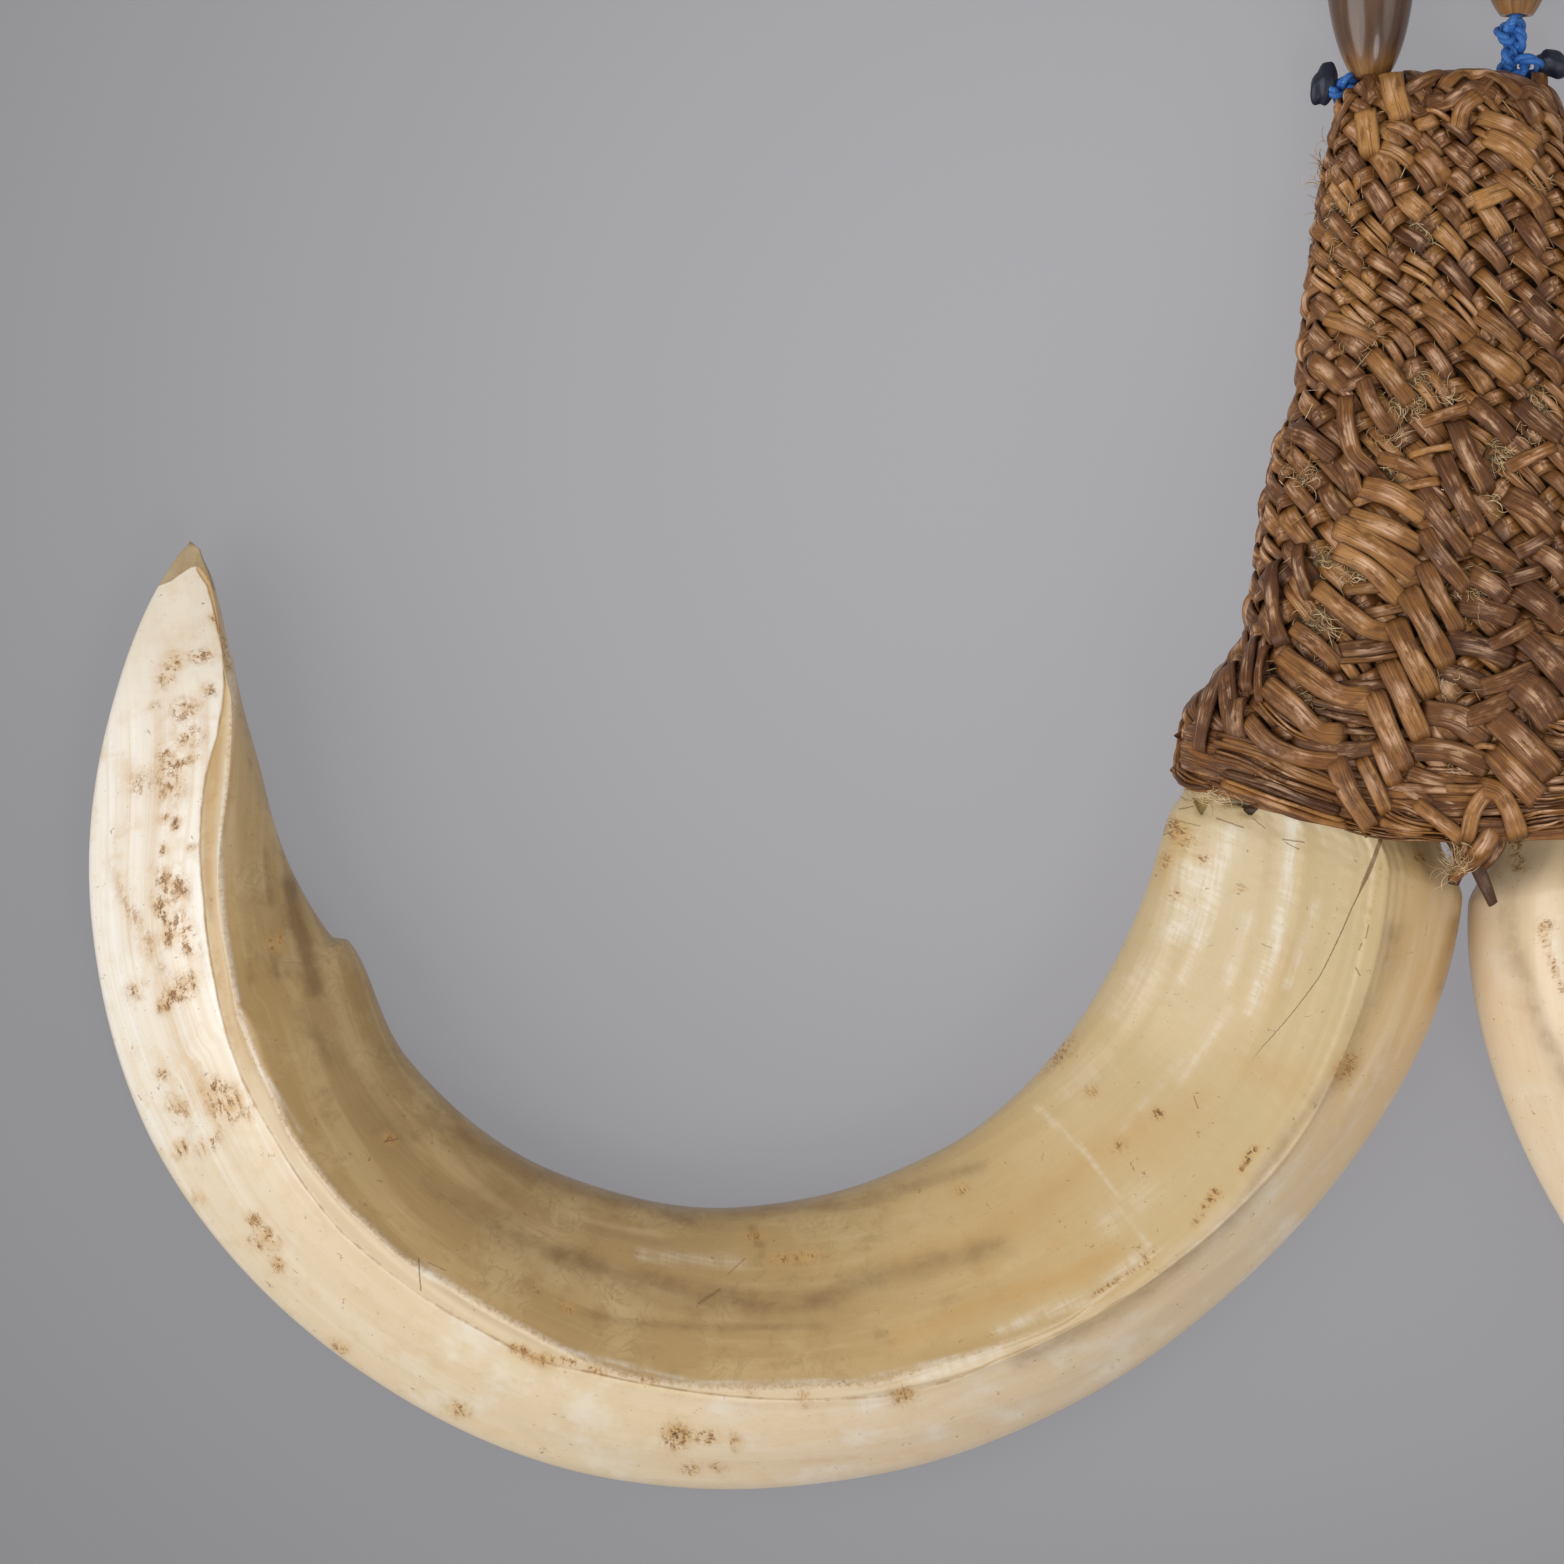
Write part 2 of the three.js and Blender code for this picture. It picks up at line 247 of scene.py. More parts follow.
class Finish:
    # one material, with the Principled shader at its end
    def __init__(self, name, **constants):
        self.material = bpy.data.materials.new(name)
        self.material.use_nodes = True
        self.tree = self.material.node_tree
        self.shader = next(n for n in self.tree.nodes if n.type == "BSDF_PRINCIPLED")
        for socket, value in constants.items():
            self.shader.inputs[socket.replace("_", " ")].default_value = value

    def node(self, kind, settings=None, sockets=None, output=0):
        made = self.tree.nodes.new(kind)
        for name, value in (settings or {}).items():
            if name == "stops":
                self.setStops(made.color_ramp, value)
            else:
                setattr(made, name, value)
        for name, value in (sockets or {}).items():
            self.feed(made.inputs[name], value)
        return Value(self, made.outputs[output])

    def feed(self, socket, value):
        if isinstance(value, Value):
            self.tree.links.new(value.socket, socket)
        elif hasattr(value, "__len__") and len(value) == 3 and len(socket.default_value) == 4:
            socket.default_value = (*value, 1.0)
        else:
            socket.default_value = value

    def setStops(self, ramp, stops):
        while len(ramp.elements) < len(stops):
            ramp.elements.new(1.0)
        for element, (place, colour) in zip(ramp.elements, stops):
            element.position, element.color = place, (*colour, 1.0)

    def parts(self, vector):
        first = self.node("ShaderNodeSeparateXYZ", None, {0: vector})
        return [Value(self, output) for output in first.socket.node.outputs]

    def layer(self, name):  # the three values of a point attribute
        return self.parts(self.node("ShaderNodeAttribute", {"attribute_name": name}, output=1))

    def place(self, scale=(1000.0, 1000.0, 1000.0), offset=(0.0, 0.0, 0.0)):  # object coordinates, in millimetres
        coordinates = self.node("ShaderNodeTexCoord", output=3)
        return self.node("ShaderNodeMapping", None, {"Vector": coordinates, "Scale": scale, "Location": offset})

    def vector(self, x, y, z=0.0):
        return self.node("ShaderNodeCombineXYZ", None, {0: x, 1: y, 2: z})

    def noise(self, where, scale=1.0, detail=3.0, roughness=0.5, distortion=0.0):  # where: a vector or its parts
        where = self.vector(*where) if isinstance(where, tuple) else where
        return self.node("ShaderNodeTexNoise", None, {
            "Vector": where, "Scale": scale, "Detail": detail, "Roughness": roughness, "Distortion": distortion})

    def ramp(self, value, *stops):
        return self.node("ShaderNodeValToRGB", {"stops": stops}, {0: value})

    def mix(self, amount, low, high):
        return self.node("ShaderNodeMix", {"data_type": "RGBA"}, {0: amount, 6: low, 7: high}, 2)

    def paint(self, colour, *coats):  # tints laid over a colour in turn, each through its own mask
        for mask, tint in coats:
            colour = self.mix(mask, colour, tint)
        return colour

    def bump(self, height, strength, distance):  # distance in millimetres
        sockets = {"Height": height, "Strength": strength, "Distance": distance * mm}
        return self.node("ShaderNodeBump", None, sockets)

    def out(self, **sockets):
        for name, value in sockets.items():
            self.feed(self.shader.inputs[name.replace("_", " ")], value)
        return self.material


def dress(piece, material, node):
    piece.data.materials.clear()
    piece.data.materials.append(material)
    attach(piece, "root")
    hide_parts(node)
    return piece


# the blue cord: three plies twisted round the route, from the cover's top through both beads and back
cord = {
    "diameter": 1.2, "plies": 3, "plyRadius": 0.31, "plySides": 7, "twist": 2.6, "steps": 560,
    "route": [
        (-10.8, 50.6, 4), (-11, 52.4, 4.1), (-10.5, 54.2, 4.2), (-9.6, 55.8, 4.3), (-9.35, 57.6, 4.3),
        (-9.35, 64, 4.3), (-9.35, 72, 4.3), (-9.35, 79, 4.3), (-9.5, 83.5, 4), (-10.4, 88, 2.2),
        (-11.5, 92.4, 0.9), (-11.2, 97, 0.66), (-8.6, 101, 0.66), (-4.4, 103.2, 0.66), (0.2, 102.7, 0.66),
        (4, 100, 0.66), (5.9, 96, 0.8), (5.5, 92, 2.1), (4.4, 88.6, 3.9), (3.96, 84, 4.3), (3.96, 76, 4.3),
        (3.96, 68, 4.3), (3.9, 62, 4.3), (3.6, 58.6, 4.3), (3, 56, 4.2), (2.2, 53.6, 4.1), (1.7, 51, 4),
    ],
}


def cordFinish():
    finish = Finish("blueCord", Roughness=0.42, Sheen_Weight=0.05, Specular_IOR_Level=0.4)
    along, around, dark = finish.layer("strand")
    fibres = finish.noise((along * 0.35, around * 9.0), 1.0, 2.0)
    blue = finish.ramp(fibres, (0.25, (0.012, 0.07, 0.30)), (0.55, (0.03, 0.16, 0.50)), (0.8, (0.13, 0.34, 0.72)))
    navy = finish.ramp(fibres, (0.3, (0.004, 0.006, 0.016)), (0.75, (0.013, 0.018, 0.042)))
    return finish.out(Base_Color=finish.mix(dark, blue, navy), Normal=finish.bump(fibres, 0.5, 0.12))


def makeCord(values):
    path = curveThrough(values["route"], values["steps"])
    run = runAlong(path)
    _, side, up = framesAlong(path)
    pile = Pile()
    around = np.arange(values["plySides"]) / values["plySides"]
    for ply in range(values["plies"]):
        turn = 2 * np.pi * (run / values["twist"] + ply / values["plies"])
        out = values["diameter"] / 2 - values["plyRadius"]
        centre = path + out * (np.cos(turn)[:, None] * side + np.sin(turn)[:, None] * up)
        rings = roundTube(centre, values["plyRadius"], values["plySides"])
        pile.tube(rings, strand=together(run[:, None] + 40.0 * ply, around + turn[:, None], 0.0))
    return pile.piece("twistedCord"), path, run[-1]


twistedCord, cordPath, cordLength = makeCord(cord)
print("cord made,", round(cordLength, 1), "mm long")


# knots: the cord's own ply wound in a small tight knot, with a dark melted end beside it
knots = [
    {"name": "leftKnot", "centre": (-11.75, 55.5, 4.2), "radii": (1.2, 1.1, 0.8), "turns": 0.3,
     "end": {"centre": (-13.5, 56.05, 4.3), "radii": (1.15, 1.95, 1.0), "lean": -17}},
    {"name": "rightKnot", "centre": (4.0, 57.7, 4.5), "radii": (1.75, 1.2, 0.85), "turns": 1.4,
     "end": {"centre": (7.2, 57.85, 4.4), "radii": (1.65, 1.2, 1.1), "lean": -20}},
    {"name": "upperKnot", "centre": (3.55, 60.6, 4.4), "radii": (1.05, 1.35, 0.8), "turns": 0.5},
]
winding = {"steps": 90, "length": 14, "twist": 2.2, "plies": 2, "out": 0.2, "radius": 0.33, "sides": 7}


def makeKnot(values):
    # a trefoil path squeezed into an ellipsoid, and a dented ball for the melted end
    t = np.linspace(0, 2 * np.pi, winding["steps"], endpoint=False)
    t = np.append(t, t[0] + 2 * np.pi - 1e-3)
    trefoil = together(np.sin(t) + 2 * np.sin(2 * t), np.cos(t) - 2 * np.cos(2 * t), -np.sin(3 * t))
    path = turned(trefoil / (2.6, 2.6, 1), values["turns"]) * values["radii"] + values["centre"]
    _, side, up = framesAlong(path)
    pile = Pile()
    run = np.linspace(0, winding["length"], len(t))
    around = np.arange(winding["sides"]) / winding["sides"]
    for ply in range(winding["plies"]):
        turn = (run * winding["twist"] + np.pi * ply)[:, None]
        centre = path + winding["out"] * (np.cos(turn) * side + np.sin(turn) * up)
        rings = roundTube(centre, winding["radius"], winding["sides"])
        pile.tube(rings, strand=together(run[:, None] + 9 * ply, around + turn, 0.0))
    end = values.get("end")
    if not end:
        return pile.piece(values["name"])
    pole = np.linspace(0.02, np.pi - 0.02, 22)[:, None]
    turn = np.linspace(0, 2 * np.pi, 30, endpoint=False)
    x, y, z = np.sin(pole) * np.cos(turn), np.cos(pole) + 0 * turn, -np.sin(pole) * np.sin(turn)
    dents = 1 + 0.07 * wander(x * 3 + y * 2, 5, 1.6) + 0.06 * wander(z * 4 - y * 3, 6, 1.4)
    ball = together(x, y, z) * dents[..., None] * end["radii"]
    ball = turned(ball, math.radians(end["lean"])) + end["centre"]
    pile.tube(ball, strand=together(ball[..., 0] * 0.3, ball[..., 1] * 0.08, 1.0))
    return pile.piece(values["name"])


knotPieces = [makeKnot(values) for values in knots]
cordMaterial = cordFinish()
for piece in [twistedCord, *knotPieces]:
    dress(piece, cordMaterial, "hanging_cord")
print("knots made")


# beads: a stretched ball with flat ends and a bore, polished and faintly banded along its length
bead = {"length": 25.0, "radius": 4.2, "endRadius": 1.5, "boreRadius": 1.05, "axisHeight": 4.3,
        "sides": 72, "rows": 90, "boreRows": 12, "places": {"bead_left": (-9.35, 56.6), "bead_right": (3.96, 62.3)}}


def beadFinish():
    finish = Finish("beadHorn", Roughness=0.24, Coat_Weight=0.3, Coat_Roughness=0.06, Specular_IOR_Level=0.4,
                    Subsurface_Weight=0.15, Subsurface_Radius=(0.004, 0.002, 0.001), Subsurface_Scale=1.0)
    along, around, _ = finish.layer("strand")
    grain = finish.noise((along * 0.12, around * 4.5), 1.3, 4.0, 0.55, 0.6)
    smoke = finish.noise((along * 0.10, around * 1.2), 1.0, 3.0, 0.5, 0.5)
    body = finish.ramp(grain * 0.5 + smoke * 0.5, (0.3, (0.052, 0.024, 0.011)), (0.5, (0.098, 0.048, 0.024)),
                       (0.7, (0.165, 0.092, 0.053)))
    amber = finish.ramp(grain, (0.3, (0.17, 0.075, 0.022)), (0.75, (0.36, 0.185, 0.065)))
    ends = along.between(3.4, 0.1).highest(along.between(21.6, 24.9))
    return finish.out(Base_Color=finish.mix(ends, body, amber), Normal=finish.bump(grain, 0.05, 0.1))


def makeBead(name, values):
    # radius = r * sqrt(1 - (height from the middle / half length of the whole ball) ^ 2), and the bore inside
    half = values["length"] / 2 / math.sqrt(1 - (values["endRadius"] / values["radius"]) ** 2)
    height = values["length"] * (1 - np.cos(np.linspace(0, np.pi, values["rows"]))) / 2
    radius = values["radius"] * np.sqrt(1 - ((height - values["length"] / 2) / half) ** 2)
    height = np.concatenate((height, np.linspace(values["length"], 0, values["boreRows"])))
    radius = np.concatenate((radius, np.full(values["boreRows"], values["boreRadius"])))
    turn = np.linspace(0, 2 * np.pi, values["sides"], endpoint=False)
    x, y = values["places"][name]
    height, radius = height[:, None], radius[:, None]
    points = together(x + radius * np.cos(turn), y + height, values["axisHeight"] - radius * np.sin(turn))
    rows, columns = points.shape[:2]
    first = np.arange(columns)
    last = first + (rows - 1) * columns
    closing = np.stack((last, np.roll(last, -1), np.roll(first, -1), first), -1)
    strand = together(height, turn / (2 * np.pi) * 4 + x, 0.0)
    return makePiece(name + "_polished", points.reshape(-1, 3), np.concatenate((gridFaces(rows, columns), closing)),
                     layers={"strand": strand.reshape(-1, 3)})


beadMaterial = beadFinish()
beadPieces = [dress(makeBead(name, bead), beadMaterial, name) for name in bead["places"]]
cordLength * mm
[[c * mm for c in p] for p in cordPath]
print("beads made")


# tusk: polar outline about the curl's centre, degrees clockwise from +x, and a rounded three-cornered section
tusk = {
    "centre": (-70.2, 5.4), "tip": 190.8, "rows": 570, "columns": (20, 20, 20, 20, 20, 20, 20, 6, 6, 6, 6, 6),
    "inner": [(4, 49), (10, 47), (17.2, 45.7), (20.1, 45.1), (30, 46.1), (45, 48.5), (65, 50.9), (85, 51.4),
              (105, 49.8), (125, 46.2), (139.6, 41.8), (141.4, 42.7), (150, 42.5), (165, 41.5), (172, 41.8),
              (178.5, 42.5), (183.8, 43.5), (187.5, 44.65), (189.6, 45.75), (190.8, 46.3)],
    "outer": [(4, 65.5), (10, 67.4), (15.1, 68.9), (18.9, 72.5), (30, 74.6), (50, 76), (75, 77.2), (95, 76.4),
              (115, 72.9), (135, 68), (155, 60.7), (175, 53), (185, 49.6), (188.4, 48.3), (190, 47.65),
              (190.8, 47.1)],
    "thickness": [(4, 14.6), (20, 16.6), (60, 17.6), (95, 17.2), (125, 16), (145, 13), (160, 10.4), (175, 6.8),
                  (190.8, 1)],
    "lift": [(4, 2.9), (20, 2.5), (45, 0.7), (65, 0), (115, 0), (140, 0.8), (165, 2.6), (190.8, 5.2)],
    "ridge": [(4, 0.62), (25, 0.7), (42, 0.76), (60, 0.71), (90, 0.61), (130, 0.49), (150, 0.36), (165, 0.14),
              (174, 0.05), (190.8, 0.03)],
    "relief": {"crest": 0.11, "furrow": 0.16, "valley": 0.28, "ribs": 0.04, "chips": 0.35},
}
rightTusk = {"mirrorX": -0.83, "drop": 0.5, "pivot": (0.0, -12.6, 0.0), "clockwise": 8.0, "marksFurther": 33.0}


def tuskSection(ridge, rounder, columns):
    # closed Catmull-Rom loop through twelve corners, for every row at once: rows, points, (across, height)
    rest = 1 - ridge
    zero = 0 * ridge
    corners = [
        (zero, 0.42), (0.12 * ridge, 0.66), (0.55 * ridge, 0.885), (0.88 * ridge, 0.975), (ridge, 1.0),
        (ridge + 0.14 * rest, 0.945 + 0.03 * rounder), (ridge + 0.55 * rest, 0.74 + 0.08 * rounder),
        (zero + 1, 0.36 + 0.04 * rounder), (zero + 0.93, 0.13),
        (zero + 0.7, 0.0), (zero + 0.3, 0.0), (zero + 0.06, 0.17),
    ]
    loop = [np.stack((across, zero + height), -1)[:, None] for across, height in corners]
    curves = []
    for corner, count in enumerate(columns):
        t = (np.arange(count) / count)[None, :, None]
        a, b, c, d = (loop[(corner + step) % len(corners)] for step in (-1, 0, 1, 2))
        curves.append(b + 0.5 * t * (c - a + t * (2 * a - 5 * b + 4 * c - d + t * (3 * (b - c) + d - a))))
    return np.concatenate(curves, 1)


def tuskAngles(rows):
    # rows closer together at the root's rim, the notch and the tip
    spread = np.linspace(0, 1, 4000)
    angle = 4 + (190.4 - 4) * spread
    rim, notch, tip = np.exp(-((angle - 18) / 4) ** 2), np.exp(-((angle - 140.5) / 2.5) ** 2), angle > 178
    run = np.cumsum(1 + 2.2 * rim + 2.5 * notch + 1.6 * tip)
    run = (run - run[0]) / (run[-1] - run[0])
    return np.interp(np.linspace(0, 1, rows), run, angle)


# marks on a tusk's skin, by pixel of the photograph: brown specks, dark streaks with painted shade along the outer
# face's valley, orange tan bands, pale ribs and streaks painted largely as highlights
# a spot is its middle, half sizes along and across the curl, and strength
tuskSpots = {
    "brown": [
        (174, 663, 8, 6, 1.1), (166, 677, 8, 7, 1.0), (201, 656, 6, 11, 1.0), (209, 691, 6, 6, 1.0),
        (184, 710, 9, 12, 1.0), (153, 707, 4, 8, 0.5), (190, 737, 8, 12, 1.1), (164, 752, 7, 6, 1.2),
        (177, 763, 5, 14, 1.1), (140, 784, 9, 8, 0.7), (169, 784, 16, 13, 0.7), (177, 823, 4, 5, 2.6),
        (164, 819, 3, 5, 1.2), (163, 849, 4, 4, 1.8), (191, 848, 3, 4, 0.8), (163, 882, 9, 5, 1.8),
        (178, 886, 12, 8, 1.2), (164, 914, 16, 6, 2.0), (183, 927, 22, 7, 1.0), (166, 938, 6, 5, 2.0),
        (188, 946, 10, 6, 1.0), (182, 989, 8, 16, 1.7), (135, 991, 7, 9, 0.9), (166, 1004, 5, 8, 1.6),
        (140, 930, 50, 6, 0.5), (162, 1074, 7, 6, 0.8), (214, 1090, 10, 9, 1.7), (228, 1106, 13, 15, 1.3),
        (178, 1109, 12, 9, 0.8), (251, 1112, 5, 7, 0.9), (208, 1144, 6, 11, 1.3), (181, 1149, 5, 9, 1.0),
        (197, 1197, 6, 5, 0.6), (254, 1220, 7, 5, 1.2), (268, 1236, 9, 8, 1.1), (255, 1245, 5, 5, 2.4),
        (278, 1243, 5, 3, 1.0), (278, 1265, 5, 5, 1.9), (340, 1347, 6, 4, 1.3), (459, 1410, 8, 6, 1.1),
        (677, 1437, 10, 9, 2.3), (707, 1438, 8, 5, 1.9), (736, 1443, 3, 7, 1.1), (691, 1469, 8, 5, 0.9),
        (717, 1467, 5, 4, 0.9), (519, 1349, 7, 4, 2.0), (541, 1359, 13, 5, 1.2), (567, 1362, 8, 4, 1.2),
        (596, 1370, 7, 4, 1.0), (647, 1380, 6, 4, 1.0), (752, 1392, 3, 4, 1.0), (804, 1399, 4, 6, 1.6),
        (902, 1396, 10, 8, 1.0), (1158, 1114, 4, 4, 3.0), (1251, 1154, 7, 3, 2.8), (1214, 1195, 5, 4, 2.0),
        (1347, 1068, 13, 9, 1.0), (1059, 1054, 20, 8, 0.8), (1091, 1091, 5, 5, 1.5), (1120, 1146, 6, 5, 0.9),
        (961, 1189, 6, 4, 1.2), (1172, 828, 8, 12, 1.6), (1186, 842, 7, 8, 0.9), (1164, 862, 8, 5, 0.9),
        (1174, 894, 5, 5, 1.0), (1202, 858, 5, 7, 0.8), (1420, 857, 4, 4, 2.2), (1241, 888, 3, 3, 1.6),
        (274, 942, 8, 7, 1.3), (569, 1308, 6, 4, 1.4), (780, 1259, 8, 4, 1.2), (806, 1257, 12, 5, 0.9),
        (755, 1236, 9, 4, 0.9), (389, 1139, 6, 4, 1.1), (1148, 1254, 6, 5, 0.9),
    ],
    "dark": [
        (337, 1062, 16, 10, 0.5),
    ],
    "tan": [
        (1056, 1241, 9, 6, 0.9), (1088, 1263, 9, 6, 0.9), (986, 1270, 12, 8, 0.7), (170, 784, 24, 18, 0.4),
        (222, 1100, 30, 22, 0.5), (1205, 862, 14, 12, 0.5), (541, 1359, 14, 7, 0.7), (902, 1396, 11, 9, 1.0),
        (1345, 1068, 16, 11, 0.8),
    ],
    # pale marks: mostly painted highlights where ribs and enamel face the light, with some pale streaks of the
    # tusk's own
    "paleRibsAndHighlights": [
        (1292, 822, 7, 8, 1.0), (874, 1405, 20, 9, 1.6), (176, 620, 30, 18, 0.6), (290, 1170, 16, 9, 0.5),
        (432, 1275, 16, 6, 0.9),
    ],
}
tuskLines = {  # half width, strength, and the points it runs through
    "brown": [
        (3, 1.1, (1196, 1222), (1213, 1193)), (2, 1.2, (1241, 1170), (1256, 1148)),
        (2, 0.9, (1091, 1297), (1149, 1260)), (2, 0.2, (1382, 862), (1374, 898), (1360, 948)),
        (3, 0.8, (212, 616), (226, 640), (229, 668)), (3, 0.7, (204, 563), (212, 590)),
    ],
    # dark streaks of the tusk's own, and painted shade: the lines from (1346, 1070) and from (1394, 930) lie along
    # the shaded valley of the outer face
    "dark": [
        (9, 1.3, (288, 884), (296, 922), (306, 953), (314, 990)), (4, 0.6, (265, 852), (271, 904)),
        (5, 0.7, (272, 935), (276, 975)), (4, 0.8, (248, 964), (250, 980)), (16, 0.5, (366, 1106), (398, 1138)),
        (20, 0.4, (480, 1200), (520, 1230)), (7, 0.35, (244, 700), (262, 800)),
        (11, 0.62, (551, 1255), (628, 1277), (698, 1290), (765, 1303), (819, 1300), (883, 1276), (1000, 1246)),
        (4, 0.6, (561, 1307), (628, 1323), (704, 1328), (820, 1326)),
        (8, 0.4, (430, 1190), (520, 1240), (600, 1262)), (5, 0.3, (560, 1222), (660, 1244)),
        (7, 0.5, (430, 1120), (560, 1188), (700, 1212), (850, 1205), (980, 1166)),
        (9, 0.5, (1346, 1070), (1295, 1127), (1235, 1216), (1155, 1286), (1079, 1334), (1018, 1362)),
        (4, 0.9, (752, 1229), (758, 1243)), (7, 0.7, (668, 1214), (690, 1222)),
        (11, 0.6, (1394, 930), (1382, 980), (1360, 1022), (1343, 1072)), (7, 0.5, (1455, 920), (1440, 990)),
        (3, 0.35, (215, 745), (205, 800), (204, 860), (210, 920)), (3, 0.15, (620, 1200), (560, 1300)),
        (7, 0.4, (300, 1010), (330, 1060)), (14, 0.25, (640, 1300), (850, 1312)),
    ],
    "tan": [
        (17, 0.42, (172, 640), (162, 720), (152, 800), (152, 900), (168, 1000), (196, 1080)),
        (7, 0.3, (128, 760), (121, 850), (130, 950)), (16, 0.25, (262, 1150), (330, 1250), (420, 1340)),
        (12, 0.9, (899, 1341), (996, 1299), (1079, 1273), (1110, 1254)),
        (16, 0.75, (900, 1262), (964, 1248), (1034, 1209), (1098, 1155), (1136, 1126)),
        (20, 0.5, (1150, 1150), (1200, 1100)), (18, 0.35, (1240, 1030), (1290, 960)),
        (16, 0.75, (1398, 839), (1401, 890), (1394, 961)), (20, 0.5, (1230, 1060), (1290, 1080)),
        (5, 0.5, (205, 700), (208, 850), (222, 960), (250, 1070)), (9, 0.6, (1450, 930), (1432, 1000)),
        (12, 0.6, (1178, 840), (1160, 880)),
    ],
    # pale ribs and streaks: mostly painted highlights where they face the light
    "paleRibsAndHighlights": [
        (13, 0.8, (1230, 833), (1210, 880), (1192, 925)), (15, 0.9, (1190, 870), (1170, 930)),
        (5, 0.8, (1226, 841), (1207, 927), (1182, 980)),
        (6, 1.15, (1293, 826), (1285, 898), (1272, 955), (1251, 1009)),
        (4, 0.6, (1314, 906), (1297, 961), (1287, 986)), (6, 0.6, (1249, 917), (1228, 982)),
        (16, 0.5, (1150, 970), (1120, 1010)), (16, 0.35, (1100, 1060), (1070, 1090)),
        (2.5, 0.6, (1037, 1107), (1091, 1158), (1149, 1247)), (14, 0.4, (1150, 1190), (1110, 1220)),
        (6, 0.7, (910, 1382), (1000, 1352)), (7, 0.6, (1000, 1330), (1080, 1300), (1150, 1250)),
        (8, 0.8, (120, 700), (105, 800), (108, 930), (126, 1030)), (4, 0.4, (150, 720), (140, 850), (150, 980)),
        (8, 0.7, (196, 780), (192, 880), (204, 980), (232, 1070)),
        (2.5, 0.9, (240, 1010), (262, 1070), (300, 1130)),
        (2.5, 0.7, (226, 760), (218, 850), (222, 915), (238, 1000)),
        (3, 0.6, (560, 1349), (700, 1383), (850, 1381), (960, 1356)), (6, 0.4, (640, 1255), (740, 1262)),
        (12, 0.3, (560, 1440), (640, 1465)), (5, 0.5, (1180, 1080), (1230, 1010)),
        (4, 0.4, (1120, 1130), (1180, 1060)), (8, 0.3, (1330, 1090), (1290, 1180), (1200, 1260)),
    ],
}
# lines along the tusk by pixel: the crack, the enamel's edge and the ridge's crest
crackLine = [
    (1385, 822), (1379, 845), (1371, 866), (1364, 882), (1352, 908), (1335, 946), (1320, 976), (1293, 1012),
    (1264, 1045), (1243, 1070),
]
enamelLine = [
    (1404, 830), (1401, 880), (1394, 930), (1380, 980), (1346, 1060), (1299, 1120), (1235, 1205), (1171, 1262),
    (1117, 1305), (1061, 1333), (998, 1360), (949, 1382), (899, 1396), (811, 1400), (749, 1398), (656, 1386),
    (593, 1373), (552, 1365), (519, 1352), (482, 1332), (451, 1315), (421, 1297), (384, 1269), (341, 1232),
    (301, 1181), (273, 1136), (243, 1081), (225, 1031), (213, 975), (203, 900), (199, 851), (201, 806),
    (207, 767), (216, 737), (221, 710), (224, 683), (223, 652), (218, 630), (213, 608), (207, 586), (196, 569),
]
crestLine = [
    (1254, 1152), (1206, 1209), (1149, 1254), (1091, 1299), (1061, 1321), (998, 1346), (936, 1365), (874, 1384),
    (811, 1386), (749, 1388), (687, 1385), (625, 1376), (577, 1356), (527, 1330), (477, 1302), (451, 1285),
    (401, 1257), (371, 1229), (341, 1201), (321, 1176), (291, 1136), (271, 1091), (250, 1046), (238, 1015),
    (232, 975), (223, 915), (220, 851), (226, 787), (230, 736), (233, 700), (234, 660),
]
# short dark scratches and cracks: two pixels, half width in millimetres, darkness
strokes = [
    ((419, 1258), (420, 1292), 0.07, 0.7), ((428, 1262), (446, 1270), 0.05, 0.5),
    ((1217, 818), (1243, 827), 0.07, 0.6), ((1253, 818), (1265, 828), 0.06, 0.5),
    ((1283, 839), (1304, 842), 0.07, 0.6), ((1285, 842), (1299, 849), 0.05, 0.6),
    ((699, 1303), (720, 1289), 0.15, 0.55), ((728, 1274), (745, 1258), 0.07, 0.4),
    ((1356, 968), (1360, 975), 0.07, 0.6), ((1194, 1096), (1198, 1108), 0.05, 0.6),
    ((1170, 821), (1184, 833), 0.07, 0.6), ((1163, 835), (1180, 829), 0.06, 0.5),
    ((1180, 809), (1193, 806), 0.07, 0.6), ((1168, 818), (1200, 826), 0.05, 0.5),
    ((1262, 944), (1272, 948), 0.05, 0.4), ((385, 1141), (398, 1138), 0.08, 0.6),
    ((1369, 925), (1366, 938), 0.06, 0.6), ((1362, 943), (1359, 950), 0.06, 0.5),
]
# chipped places in the root's rim: middle, half sizes, depth of colour, which is how dark they are painted as shade
# inside them; and the edge of the chip at the tip
rootHoles = [(1202, 806, 6, 9, 0.88), (1249, 809, 8, 7, 0.97), (1240, 803, 16, 3.5, 0.8)]
tipCap = [(150, 596), (158, 586), (170, 581), (180, 574), (191, 567), (198, 566), (206, 575), (214, 590)]


def curlPlace(points, values):  # degrees round the curl and radius, of points in millimetres
    x, y = points[..., 0] - values["centre"][0], values["centre"][1] - points[..., 1]
    return np.degrees(np.arctan2(y, x)) % 360, np.hypot(x, y)


